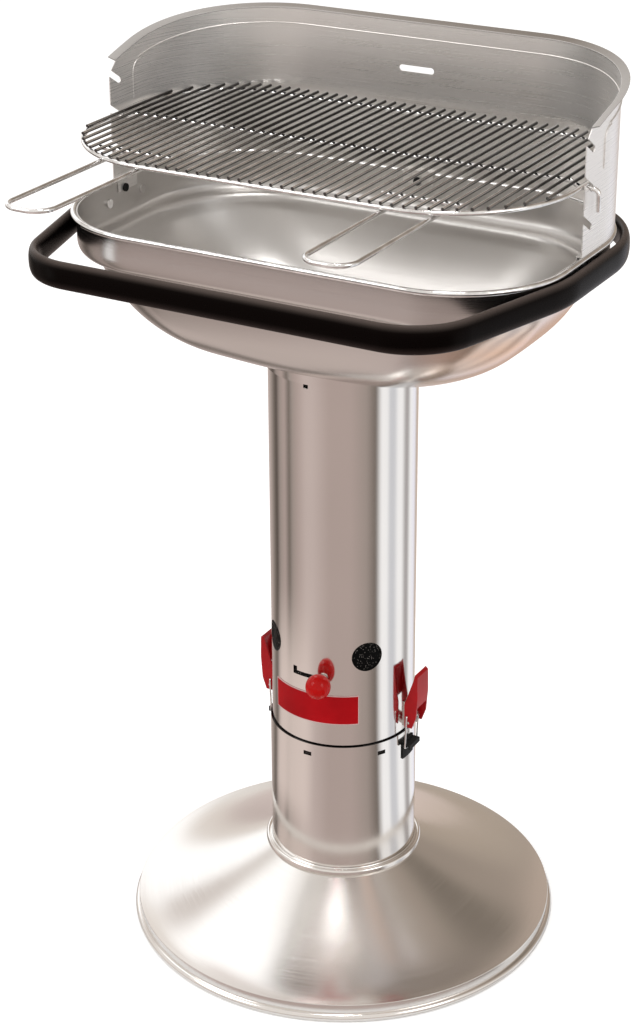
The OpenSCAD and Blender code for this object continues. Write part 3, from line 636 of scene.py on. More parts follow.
def steel(name, tint, roughness, streaks, cloud, depth, spread, seam=False, sides=None, warm=None):
    """Stainless steel: streaks turns the place into the coordinates of its brushing, cloud is the share that
    the tint darkens, depth that of the bump and spread that of the roughness; sides gives the metallic share
    in the middle and at the sides, seam paints shade where the column's halves meet, and warm gives the
    colour of a painted warm reflection low on the bowl's right side."""
    if name in bpy.data.materials:
        return bpy.data.materials[name]
    f = Finish(name, tint, 1.0, roughness)
    place = f.place()
    fine = f.noise(streaks(f, place), 1.0, 4.0, 0.6)
    large = f.noise(place, 5.5, 2.0, 0.5)
    colour = f.blend(f.span(large, 0.3, 0.7, 0, 1), toned(tint, 1 - 2.2 * cloud), tint)
    if seam:
        # painted shade: the ledge between the column halves and the upper half's hidden foot are made near
        # black
        colour = f.blend(seam_shade_mask(f, place), colour, (0.02, 0.018, 0.017))
    if warm:
        # painted reflection: a warm orange glow is laid into the colour of the bowl's lower right
        parts = f.split(place)
        warm_reflection = f.times(f.span(parts[0], *WARM_REFLECTION_X, 0, 1), f.span(parts[2], *WARM_REFLECTION_Z, 0, 1))
        colour = f.blend(warm_reflection, colour, warm)
    if sides:
        across = f.calc("ABSOLUTE", f.split(place)[0])
        f.shade("Metallic", f.span(across, *SIDES, *sides))
    f.shade("Base Color", colour)
    total = f.plus(f.times(fine, 0.7), f.times(large, 0.3))
    f.shade("Roughness", f.span(total, 0.3, 0.7, roughness * (1 - spread), roughness * (1 + spread)))
    f.bump(fine, depth, 0.0004)
    return f.material


def seam_shade_mask(f, place, soft=0.0004):
    """Painted shade where the halves of the column meet: the ledge, and the part of the upper half inside the
    lower, darkened as if they lay in shadow.
    """
    x, y, z = f.split(place)
    low = SEAM_LOW * MM
    high = SEAM_HIGH * MM
    ledge = f.times(f.span(z, low, low + soft, 0, 1), f.span(z, high, high + soft, 1, 0))
    wall = (LOWER_R - SHEET) * MM
    inside = f.span(f.radius(x, y), wall + 0.0001, wall + 0.0003, 1, 0)
    return f.larger(ledge, f.times(inside, f.span(z, low, low + soft, 1, 0)))


def round_streaks(f, place):
    """Brushing that runs up and down the column."""
    x, y, z = f.split(place)
    return f.join(f.times(f.calc("ARCTAN2", x, y), 60.0), 0.0, f.times(z, 2.0))


def ring_streaks(f, place):
    """Spinning marks in rings round the axis."""
    x, y = f.split(place)[:2]
    return f.join(f.times(f.radius(x, y), 900.0), f.times(f.calc("ARCTAN2", x, y), 1.6), 0.0)


def level_streaks(f, place):
    """Brushing that runs level along a wall."""
    return f.add("ShaderNodeMapping", {"Vector": place, "Scale": (9.0, 9.0, 2100.0)})


def long_streaks(f, place):
    """Brushing from left to right."""
    return f.add("ShaderNodeMapping", {"Vector": place, "Scale": (7.0, 650.0, 650.0)})


def finish_steel(kind):
    """One of the steels of the grill."""
    s = bpy.context.scene.charcoal_grill.steel
    tint = tuple(s.tint)
    if kind == "column":
        # seam=True paints shade on the ledge where the column halves meet
        return steel("polished_column", tint, s.polish, round_streaks, 0.02, 0.010, 0.25, seam=True)
    if kind == "foot":
        return steel("spun_foot", tint, 0.20, ring_streaks, 0.03, 0.03, 0.30)
    if kind == "bowl_in":
        return steel("satin_bowl", toned(tint, 0.80), s.satin, long_streaks, 0.05, 0.03, 0.2)
    if kind == "bowl_out":
        # the warm colour is a painted reflection on the lower right of the bowl's wall
        return steel("brushed_bowl_wall", toned(tint, 0.77), 0.22, level_streaks, 0.03, 0.04, 0.25,
                     warm=(0.86, 0.52, 0.33))
    if kind == "shield":
        return steel("brushed_shield", tint, 0.30, level_streaks, 0.04, 0.035, 0.22,
                     sides=(0.93, 0.62))
    if kind == "lip":
        return steel("lip_steel", toned(tint, 0.62), 0.24, level_streaks, 0.02, 0.01, 0.2,
                     sides=(1.0, 0.45))
    if kind == "pail":
        # painted shade: the ash pail is near black, so its rim in the gap and behind the windows reads as
        # shaded
        return steel("dark_pail", (0.06, 0.057, 0.055), 0.5, level_streaks, 0.08, 0.05, 0.3)
    return steel("dull_steel", (0.55, 0.54, 0.53), 0.35, level_streaks, 0.08, 0.05, 0.3)


def finish_chrome(shaded=False):
    """Bright wire; when shaded, with painted shade on the rear of the grate and on every underside."""
    name = "heated_wire" if shaded else "bright_wire"
    if name in bpy.data.materials:
        return bpy.data.materials[name]
    f = Finish(name, (0.80, 0.80, 0.80), 1.0, 0.16)
    place = f.place()
    spots = f.noise(place, 60.0, 3.0, 0.6)
    colour = f.blend(f.span(spots, 0.35, 0.7, 0, 1), (0.74, 0.73, 0.72), (0.97, 0.97, 0.97))
    if shaded:
        # painted shade: near black on the rear rods and on the undersides
        colour = f.blend(painted_shade_mask(f, place), colour, (0.014, 0.012, 0.011))
    f.shade("Base Color", colour)
    f.shade("Roughness", f.span(spots, 0.3, 0.7, 0.08, 0.20))
    f.bump(f.noise(place, 900.0, 2.0, 0.5), 0.05, 0.0003)
    return f.material


def painted_shade_mask(f, place):
    """Painted shade of the rods: the wind shield's shadow on the rear of the grate, lighter along the tops,
    and shade on every underside.
    """
    x, y = f.split(place)[:2]
    cloud = f.times(f.calc("SUBTRACT", f.noise(place, 9.0, 3.0, 0.6), 0.5), 0.10)
    back = f.plus(f.plus(y, f.times(x, 0.10)), cloud)
    up = f.split(f.node("ShaderNodeNewGeometry").outputs["Normal"])[2]
    # the rear rods are shaded except along their tops, which keep a highlight; every underside is shaded
    rear = f.times(f.span(back, -0.14, -0.02, 0.0, 0.98), f.span(up, 0.99, 0.93, 0.70, 1.0))
    return f.larger(rear, f.span(up, 0.62, 0.05, 0.0, 0.88))


# Red finishes: name, roughness, specular level and coat
REDS = {
    "lever": ("red_lacquer", 0.3, 0.16, 0.10),
    "plate": ("plate_lacquer", 0.45, 0.05, 0.0),
    "knob": ("glossy_knob", 0.08, 0.1, 0.15),
}


def finish_red(kind):
    """Red of the levers, the plate or the knob."""
    paint = bpy.context.scene.charcoal_grill.paint
    name, roughness, specular, coat = REDS[kind]
    if name in bpy.data.materials:
        return bpy.data.materials[name]
    base = tuple(paint.knob if kind == "knob" else paint.lacquer)
    f = Finish(name, base, 0.0, roughness, specular)
    f.shade("Coat Weight", coat)
    f.shade("Coat Roughness", 0.05)
    place = f.place()
    tone = f.noise(place, 24.0, 2.0, 0.5)
    colour = f.blend(f.span(tone, 0.3, 0.7, 0, 1), toned(base, 0.82), toned(base, 1.12))
    if kind == "plate":
        colour = f.blend(border_mask(f, place), colour, (0.62, 0.42, 0.41))
    f.shade("Base Color", colour)
    f.bump(f.noise(place, 420.0, 2.0, 0.5), 0.03, 0.0002)
    return f.material


def border_mask(f, place, soft=0.0003):
    """The thin pale border of the plate."""
    x, y, z = f.split(place)
    turn = f.calc("SUBTRACT", f.calc("ARCTAN2", x, f.times(y, -1.0)), math.radians(FRONT_TURN))
    across = f.calc("ABSOLUTE", f.times(turn, PLATE_R * MM))
    low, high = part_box("name_plate")
    up = f.calc("ABSOLUTE", f.calc("SUBTRACT", z, (low.z + high.z) / 2))
    border = PLATE_BORDER * MM
    end = math.radians(PLATE_HALF_TURN) * PLATE_R * MM - border
    edge = (high.z - low.z) / 2 - border
    return f.larger(f.span(up, edge, edge + soft, 0, 1), f.span(across, end, end + soft, 0, 1))


def finish_rail():
    """Dark hand rail with painted highlights along its upper and lower edges."""
    if "rail_lacquer" in bpy.data.materials:
        return bpy.data.materials["rail_lacquer"]
    base = tuple(bpy.context.scene.charcoal_grill.paint.rail)
    f = Finish("rail_lacquer", base, 0.0, 0.3, 0.05)
    f.shade("Specular Tint", (1.0, 0.78, 0.70))
    place = f.place()
    fine = f.noise(place, 700.0, 3.0, 0.55)
    z = f.split(place)[2]
    middle = RAIL_Z * MM
    reach = RAIL_H / 2 * MM
    # painted highlights: the colour lightens towards the top and bottom edges, standing in for reflections of
    # the sky
    upper = f.span(z, middle + reach * 0.52, middle + reach * 0.98, 0, 1)
    lower = f.span(z, middle - reach * 0.35, middle - reach, 0, 1)
    colour = f.blend(f.calc("POWER", upper, 1.6), base, (0.085, 0.066, 0.058))
    colour = f.blend(f.calc("POWER", lower, 1.5), colour, (0.032, 0.021, 0.019))
    f.shade("Base Color", colour)
    f.shade("Roughness", f.span(fine, 0.3, 0.7, 0.24, 0.34))
    f.bump(fine, 0.04, 0.0003)
    return f.material


def finish_black(kind):
    """Speckled enamel of the air sleeve, or satin black of the keepers and bolts."""
    name = {"enamel": "speckled_enamel", "keeper": "satin_black"}[kind]
    if name in bpy.data.materials:
        return bpy.data.materials[name]
    f = Finish(name, (0.012, 0.012, 0.012), 0.0, 0.5, 0.06)
    place = f.place()
    if kind == "enamel":
        cells = f.add("ShaderNodeTexVoronoi", {"Vector": place, "Scale": 480.0}, "Distance")
        colour = f.blend(f.span(cells, 0.15, 0.22, 1, 0), (0.002, 0.002, 0.002), (0.30, 0.27, 0.25))
    else:
        colour = f.blend(f.noise(place, 90.0, 3.0, 0.6), (0.010, 0.010, 0.010), (0.03, 0.03, 0.03))
    f.shade("Base Color", colour)
    f.bump(f.noise(place, 800.0, 2.0, 0.5), 0.08, 0.0003)
    return f.material


# Foot
class GRILL_OT_foot(Operator):
    """Spun dish of the foot with its rolled edge, neck ring and clamp"""
    bl_idname = "grill.foot"
    bl_label = "Foot"

    def execute(self, context):
        self.dish()
        self.rolled_edge()
        self.neck_ring()
        for node in ("foot_clamp", "foot_screw_1", "foot_screw_2", "foot_screw_3", "foot_screw_4"):
            node_copy(node, finish_steel("plain"))
        return {"FINISHED"}

    def dish(self):
        """Sheet that rises in a hollow curve from the rolled edge to the column."""
        edge = FOOT_R - FOOT_BEAD
        run = edge - LOWER_R - FOOT_GAP
        rise = FOOT_TOP_Z - FOOT_EDGE_Z
        steps = 60
        slope = [(edge - run * i / steps, FOOT_EDGE_Z + rise * (i / steps) ** FOOT_HOLLOW)
                 for i in range(1, steps + 1)]
        outer = [(edge, FOOT_LOW_Z), (edge, FOOT_EDGE_Z - 1.0), (edge - 0.08, FOOT_EDGE_Z - 0.5)]
        outer += [(edge - 0.35, FOOT_EDGE_Z - 0.12)] + slope
        inner = [(min(r, edge - SHEET), z - SHEET) for r, z in reversed(slope)]
        inner.append((edge - SHEET, FOOT_LOW_Z))
        stand_in(lathe("dish", outer + inner, finish_steel("foot"), 256, 30.0), "foot_dish")

    def rolled_edge(self):
        """Bead round the foot with a narrow flat to stand on."""
        low = FOOT_BEAD - FOOT_FLAT
        half = math.degrees(math.acos(low / FOOT_BEAD))
        bead = arc(FOOT_R - FOOT_BEAD, low, FOOT_BEAD, -90 + half, 270 - half, 39)
        stand_in(lathe("rolled_edge", bead, finish_steel("column"), 256, 50.0), "foot_edge")

    def neck_ring(self):
        """Ring where the column enters the dish."""
        z = FOOT_TOP_Z + 0.15
        r = LOWER_R + 0.15
        out = LOWER_R + 7.0
        ring = [(r, z), (out - 0.6, z), (out, z + 0.6), (out, z + 1.6)]
        ring += arc(out - 3.0, z + 3.3, 3.0, 0, 90, 8)
        ring += [(r + 1.6, z + 5.0), (r + 0.4, z + 5.6), (r, z + 6.2)]
        stand_in(lathe("neck_ring", ring, finish_steel("column")), "foot_neck")


# Column
class GRILL_OT_column(Operator):
    """Polished halves of the column, the ash pail inside and the bare plate"""
    bl_idname = "grill.column"
    bl_label = "Column"

    def execute(self, context):
        for node in ("lower_column", "upper_column"):
            node_copy(node, finish_steel("column"), "stand", 30.0, radial)
        node_copy("ash_pail", finish_steel("pail"), "stand", 30.0, radial)
        node_copy("name_plate", finish_red("plate"), "stand", 30.0, radial)
        return {"FINISHED"}


# Air valve
class GRILL_OT_valve(Operator):
    """Air valve: enamelled sleeve, stem, ferrule and ball knob"""
    bl_idname = "grill.valve"
    bl_label = "Air valve"

    def execute(self, context):
        node_copy("air_sleeve", finish_black("enamel"), "valve", 30.0, radial)
        node_copy("valve_stem", finish_chrome(), "valve")
        ball = [(0.0, BALL_OUT - BALL_R)] + arc(0.0, BALL_OUT, BALL_R, -BALL_POLE, BALL_POLE, 39)
        ball.append((0.0, BALL_OUT + BALL_R))
        self.turned("ball_knob", ball, finish_red("knob"), "valve_knob", False)
        root = UPPER_R + 0.5
        end = BALL_OUT - BALL_R - 0.1
        body = [(STEM_R, root), (5.2, root), (5.2, root + 0.8), (4.3, root + 1.3), (4.3, end - 1.6),
                (5.0, end - 1.2), (5.0, end - 0.4), (4.4, end), (STEM_R, end)]
        self.turned("ferrule", body, finish_chrome(), "valve_ferrule", True)
        return {"FINISHED"}

    def turned(self, name, profile, finish, node, closed):
        """A turned piece on the stem's axis."""
        outwards = Matrix.Rotation(math.radians(90), 4, "Y")
        turn = Matrix.Rotation(math.radians(KNOB_AZ - 90), 4, "Z")
        piece = lathe(name, profile, finish, 72, 35.0, closed)
        piece.data.transform(turn @ Matrix.Translation((0, 0, SLOT_Z * MM)) @ outwards)
        stand_in(piece, node, "valve")


# Clips
class GRILL_OT_clips(Operator):
    """Two toggle clips: red lever, wire bail, bracket and keeper"""
    bl_idname = "grill.clips"
    bl_label = "Column clips"

    def execute(self, context):
        chrome = finish_chrome()
        for side, name in ((-1, "left"), (1, "right")):
            node_copy("clip_base_" + name, chrome, "stand", 30.0)
            node_copy("clip_pin_" + name, chrome, "stand", 30.0)
            node_copy("clip_keeper_" + name, finish_black("keeper"), "stand", 30.0)
            node_copy("clip_lever_" + name, finish_red("lever"), "lever_" + name, 30.0)
            bail = wires("bail_" + name, [self.bail_path(side)], BAIL_D * MM, chrome, sides=16)
            stand_in(bail, "clip_bail_" + name, "bail_" + name)
        return {"FINISHED"}

    def bail_path(self, side):
        """From the lever's one side down round the keeper and up to the other side."""
        half = LEVER_W / 2 + BAIL_GAP
        end = LEVER_W / 2 - 2
        places = ((BAIL_TOP, -end), (BAIL_TOP, -half), (BAIL_LOW, -half), (BAIL_LOW, half), (BAIL_TOP, half),
                  (BAIL_TOP, end))
        return round_corners([(side * x, y, z) for (x, z), y in places], 1.6)


def round_corners(path, radius, steps=5):
    """Rounds the corners of a path in space."""
    points = [Vector(v) for v in path]
    out = [points[0]]
    for before, corner, after in zip(points, points[1:], points[2:]):
        cut = min(radius, (before - corner).length * 0.45, (after - corner).length * 0.45)
        start = corner + (before - corner).normalized() * cut
        end = corner + (after - corner).normalized() * cut
        for i in range(steps + 1):
            t = i / steps
            out.append(start.lerp(corner, t).lerp(corner.lerp(end, t), t))
    out.append(points[-1])
    return [tuple(v) for v in out]


# Bowl
def smooth_rows(rows, k):
    """Puts k - 1 rows between each two rows, on a smooth curve through them."""
    rows = np.array(rows)
    out = []
    for i in range(len(rows) - 1):
        a = rows[i]
        b = rows[i + 1]
        before = rows[i - 1] if i else a - (b - a)
        after = rows[i + 2] if i + 2 < len(rows) else b + (b - a)
        steps = (a - before, b - a, after - b)
        la, lb, lc = (np.linalg.norm(v, axis=1, keepdims=True) ** 0.5 + 1e-9 for v in steps)
        slope_a = ((a - before) / la - (b - before) / (la + lb) + (b - a) / lb) * lb
        slope_b = ((b - a) / lb - (after - a) / (lb + lc) + (after - b) / lc) * lb
        for j in range(k):
            t = j / k
            fade = 3 * t ** 2 - 2 * t ** 3
            bend = (t ** 3 - 2 * t ** 2 + t) * slope_a + (t ** 3 - t ** 2) * slope_b
            out.append((1 - fade) * a + fade * b + bend)
    out.append(rows[-1])
    return np.array(out)


def bowl_rows(inset, lift):
    """Rows of points of one side of the bowl's sheet, from the rim to the neck."""
    wx = RIM_X - 2 * BEAD
    wy = RIM_Y - 2 * BEAD
    rf = RIM_FRONT_R - 2 * BEAD
    rb = RIM_BACK_R - 2 * BEAD
    fold = RIM_Z - WALL_H
    top = fold - FOLD_DROP

    def wall(i, z):
        """A level row, moved inwards."""
        outline = oblong(wx - i, wy - i, rf - i, rb - i)
        return np.column_stack([outline, np.full(len(outline), z)])

    def flow(b):
        """A row of the slope, from the fold at nought to the neck at one."""
        x = wx - FOLD_IN - inset
        y = wy - FOLD_IN - inset
        less = (FOLD_IN + inset) / 2
        outline = oblong(x, y, rf - less, rb - less)
        turn = np.arctan2(outline[:, 1] / y, outline[:, 0] / x)
        circle = (NECK_R + NECK_FIT) * np.column_stack([np.cos(turn), np.sin(turn)])
        z = top + (BOTTOM_Z - top) * (1 - (1 - b) ** FLOW_M) ** (1 / FLOW_N) + lift
        return np.column_stack([(1 - b) * outline + b * circle, np.full(len(outline), z)])

    rows = [wall(inset, RIM_Z + 1), wall(inset, RIM_Z - WALL_H / 2), wall(inset, fold)]
    rows.append(wall(inset + 0.12 * FOLD_IN, fold - 0.45 * FOLD_DROP))
    rows.append(wall(inset + 0.45 * FOLD_IN, fold - 0.8 * FOLD_DROP + lift / 2))
    return rows + [flow(b) for b in (0, *FLOW_STEPS)]


class GRILL_OT_bowl(Operator):
    """Bowl with its rolled rim, neck and screws, and the charcoal grate"""
    bl_idname = "grill.bowl"
    bl_label = "Bowl"

    def execute(self, context):
        plain = finish_steel("plain")
        self.shell()
        self.rolled_rim()
        node_copy("bowl_neck", finish_steel("column"), "stand", 30.0, radial)
        for k in range(1, 5):
            node_copy(f"neck_screw_{k}", plain)
        node_copy("charcoal_grate", plain, "charcoal_grate", 50.0)
        return {"FINISHED"}

    def shell(self):
        """Pressed sheet, satin inside and brushed outside."""
        outside = smooth_rows(bowl_rows(0, 0), 3)
        inside = smooth_rows(bowl_rows(SHEET, SHEET), 3)
        rows = np.concatenate([outside, inside[::-1]])
        n, m = rows.shape[:2]
        faces = grid_faces(n, m, True)
        piece = new_piece("bowl_shell", rows.reshape(-1, 3), faces, finish_steel("bowl_out"), 50.0)
        piece.data.materials.append(finish_steel("bowl_in"))
        for poly in piece.data.polygons:
            inward = poly.normal.x * poly.center.x + poly.normal.y * poly.center.y < 0
            poly.material_index = 1 if inward or poly.normal.z > 0.05 else 0
        stand_in(piece, "bowl")

    def rolled_rim(self):
        """Bright bead round the top of the bowl."""
        x = RIM_X - BEAD
        y = RIM_Y - BEAD
        bends = [RIM_FRONT_R - BEAD] * 2 + [RIM_BACK_R - BEAD] * 2
        outline = bent_path([(-x, -y), (x, -y), (x, y), (-x, y)], bends, True, 3.0)
        path = [(px, py, RIM_Z) for px, py in outline]
        rim = wires("rolled_rim", [path], 2 * BEAD * MM, finish_chrome(), closed=True, sides=24)
        stand_in(rim, "bowl_rim")


# Wind shield
def shield_top(y):
    """Height of the shield's top edge."""
    return SHIELD_TOP + SHIELD_RISE * y - SHIELD_FLAT * y * y


def shield_line(offset, drop, front):
    """Points along the shield from its right front to its left front, moved out and down from its top."""
    out = offset - SHIELD_T / 2
    x = SHIELD_X + out
    y = SHIELD_Y + out
    r = SHIELD_R + out
    half = [(x, front)] + straight((x, front), (x, y - r), 10) + arc(x - r, y - r, r, 0, 90, 40)
    half += straight((x - r, y), (0.0, y), 16) + [(0.0, y)]
    flat = half + [(-px, py) for px, py in reversed(half[:-1])]
    return [(px, py, shield_top(py) - drop) for px, py in flat]


class GRILL_OT_shield(Operator):
    """Wind shield with its folded lip, pressed line and bolts"""
    bl_idname = "grill.shield"
    bl_label = "Wind shield"

    def execute(self, context):
        node_copy("wind_shield", finish_steel("shield"), "stand", 30.0, wall_normals)
        self.lip()
        self.pressed_line("pressed_line_1", -SHIELD_T / 2, PRESS_INNER_D)
        self.pressed_line("pressed_line_2", SHIELD_T / 2 + 0.15, PRESS_OUTER_D)
        for node in ("shield_bolt_left", "shield_bolt_right", "shield_bolt_back"):
            node_copy(node, finish_black("keeper"))
        return {"FINISHED"}

    def lip(self):
        """Top edge of the sheet, folded outwards."""
        t = SHIELD_T / 2
        below = [(-t, 0.1), (t, 0.1), (t + 0.5, 0.25)]
        tip = [(-0.2, -0.1), (0.25, 0.3), (0.4, 0.8), (0.2, SHIELD_T), (-0.3, SHIELD_T - 0.05)]
        above = [(0.6, SHIELD_T + 0.4), (-0.1, SHIELD_T + 0.25), (-0.5, SHIELD_T), (-t, SHIELD_T - 0.5)]
        section = below + [(HEM_W + x, HEM_RISE + z) for x, z in tip] + above
        path = shield_line(0, HEM_DROP, SHIELD_FRONT + CHAMFER)
        stand_in(swept("lip", path, section, False, finish_steel("lip"), 40.0), "shield_hem")

    def pressed_line(self, name, offset, size):
        """One raised side of the line that is pressed in the sheet, bent down at both of its ends."""
        line = shield_line(offset, PRESS_DROP, PRESS_FRONT + PRESS_BEND)
        top = line[0][2] - 3.0
        bend = arc(PRESS_FRONT + PRESS_BEND, top - PRESS_BEND, PRESS_BEND, 180, 90, 8)
        end = [(SHIELD_X - SHIELD_T / 2 + offset, y, z) for y, z in [(PRESS_FRONT, PRESS_LOW_Z)] + bend]
        path = end + line[1:-1] + [(-x, y, z) for x, y, z in reversed(end)]
        bead = wires(name, [path], size * MM, finish_steel("shield"), sides=12)
        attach(bead, "stand")


# Hand rail
class GRILL_OT_rail(Operator):
    """Hand rail round the bowl with its four mounts"""
    bl_idname = "grill.rail"
    bl_label = "Hand rail"

    def execute(self, context):
        circle = arc(0, 0, 1, 0, 360, 48)[:-1]
        section = [(RAIL_W / 2 * self.rounded(c), RAIL_H / 2 * self.rounded(s)) for c, s in circle]
        path = [(x, y, RAIL_Z) for x, y in bent_path(RAIL_PATH, RAIL_BENDS, True, 3.0)]
        stand_in(swept("rail", path, section, True, finish_rail(), 50.0), "hand_rail")
        for side in ("left", "right"):
            for end in ("front", "back"):
                node_copy(f"rail_mount_{side}_{end}", finish_chrome())
        return {"FINISHED"}

    def rounded(self, value):
        """Makes a circle's coordinate that of a slightly squarer oval."""
        return math.copysign(abs(value) ** RAIL_ROUND, value)


# Cooking grate
def outline_y(x, r, depth):
    """How far the grate's frame reaches to the front or the back at x."""
    past = abs(x) - (FRAME_X - r)
    return depth if past <= 0 else depth - r + math.sqrt(max(r * r - past * past, 0))


class GRILL_OT_grate(Operator):
    """Cooking grate: rods, frame, cross rod, short rods and handles"""
    bl_idname = "grill.grate"
    bl_label = "Cooking grate"

    def execute(self, context):
        s = context.scene.charcoal_grill.grate
        # the rods carry painted shade on their rear and on their undersides
        rods = wires("rods", self.rods(s.gaps), s.rod, finish_chrome(True), sides=14)
        stand_in(rods, "grate_rods", "cooking_grate")
        front = [(-FRAME_X, -FRAME_FRONT), (FRAME_X, -FRAME_FRONT)]
        back = [(FRAME_X, FRAME_BACK), (-FRAME_X, FRAME_BACK)]
        path = bent_path(front + back, [FRAME_FRONT_R] * 2 + [FRAME_BACK_R] * 2, True)
        self.wire("frame_wire", [(x, y, FRAME_Z) for x, y in path], "grate_frame", closed=True)
        self.wire("cross_wire", self.cross_path(), "cross_rod")
        for side, name in ((-1, "left"), (1, "right")):
            middle = side * HANDLE_X - HANDLE_SHIFT
            reach = HANDLE_W / 2 + SHORT_ROD_EXTRA
            short = [(middle + x, HANDLE_ROOT - 5, FRAME_Z) for x in (-reach, 0, reach)]
            self.wire("short_wire_" + name, short, "short_rod_" + name)
            left = middle - HANDLE_W / 2
            right = middle + HANDLE_W / 2
            corners = [(left, HANDLE_ROOT), (left, HANDLE_TIP), (right, HANDLE_TIP), (right, HANDLE_ROOT)]
            loop = bent_path(corners, [0, HANDLE_BEND, HANDLE_BEND, 0], False, 6.0)
            self.wire("handle_wire_" + name, [(x, y, LOW_Z) for x, y in loop], "handle_" + name)
        return {"FINISHED"}

    def wire(self, name, path, node, closed=False):
        """A bent wire of the grate."""
        size = bpy.context.scene.charcoal_grill.grate.wire
        stand_in(wires(name, [path], size, finish_chrome(), closed=closed), node, "cooking_grate")

    def rods(self, gaps):
        """Paths of the rods, from the front of the frame to just inside the wind shield."""
        pitch = 2 * (FRAME_X - ROD_MARGIN) / gaps
        r = SHIELD_R - SHIELD_T
        cx = SHIELD_X - SHIELD_R
        cy = SHIELD_Y - SHIELD_R
        paths = []
        for i in range(gaps + 1):
            x = (i - gaps / 2) * pitch
            past = abs(x) + ROD_D / 2 - cx
            limit = SHIELD_Y - SHIELD_T if past <= 0 else cy + math.sqrt(r * r - past * past)
            front = -outline_y(x, FRAME_FRONT_R, FRAME_FRONT) - 1
            back = min(outline_y(x, FRAME_BACK_R, FRAME_BACK) + ROD_PAST_BACK, limit - 1.3)
            paths.append([(x, y, ROD_Z) for y in (front, (front + back) / 2, back)])
        return paths

    def cross_path(self):
        """The cross rod, raised to the frame between its ends and hooked down outside the shield."""
        hook = SHIELD_X + HOOK_OUT
        half = [(hook, LOW_Z - HOOK_DROP), (hook, LOW_Z), (FRAME_X - 9, LOW_Z), (FRAME_X - 17, FRAME_Z)]
        line = [(-x, z) for x, z in half] + half[::-1]
        return [(x, 0, z) for x, z in bent_path(line, [0, 6, 8, 8, 8, 8, 6, 0], False, 10.0)]


# Stage
def direction(azimuth, up=0.0):
    """Unit vector towards an azimuth and an elevation in degrees."""
    a = math.radians(azimuth)
    e = math.radians(up)
    return (math.sin(a) * math.cos(e), -math.cos(a) * math.cos(e), math.sin(e))


def card(name, mesh, colour):
    """A card that glows in the colour that the colour function builds, and is seen in reflections alone."""
    material = bpy.data.materials.new(name)
    material.use_nodes = True
    material.node_tree.nodes.clear()
    f = Nodes(material.node_tree)
    light = f.add("ShaderNodeEmission", {"Color": colour(f)})
    f.feed(f.node("ShaderNodeOutputMaterial").inputs["Surface"], light)
    mesh.materials.append(material)
    piece = add_object(name, mesh)
    for ray in ("camera", "diffuse", "shadow", "transmission"):
        setattr(piece, "visible_" + ray, False)


def sky_colour(f):
    """Soft pale and warm areas over an even sky."""
    way = f.add("ShaderNodeVectorMath", {0: f.place()}, operation="NORMALIZE")
    colour = SKY_BASE
    for azimuth, up, inner, outer, tone in SKY_LOBES:
        colour = f.blend(f.cone(way, direction(azimuth, up), inner, outer), colour, tone)
    return colour


def floor_colour(f):
    """Tones that change round the column, with two wider zones over them."""
    place = f.place()
    x, y = f.split(place)[:2]
    turn = f.span(f.calc("ARCTAN2", x, f.times(y, -1.0)), -math.pi, math.pi, 0, 1)
    ramp = f.node("ShaderNodeValToRGB")
    f.feed(ramp.inputs[0], turn)
    stops = ramp.color_ramp.elements
    stops.remove(stops[-1])
    for k, (azimuth, tone) in enumerate(FLOOR_CARDS):
        position = (azimuth + 180) / 360
        stop = stops.new(position) if k else stops[0]
        stop.position = position
        stop.color = (*CARD_TONES[tone], 1)
    colour = ramp.outputs[0]
    way = f.add("ShaderNodeVectorMath", {0: place}, operation="NORMALIZE")
    far = f.add("ShaderNodeVectorMath", {0: place}, "Value", operation="LENGTH")
    for azimuth, width, begin, end, share, tone in FLOOR_ZONES:
        ring = f.times(f.soft(far, *begin, 0, 1), f.soft(far, *end, share, 0))
        colour = f.blend(f.times(ring, f.cone(way, direction(azimuth), *width)), colour, tone)
    return colour


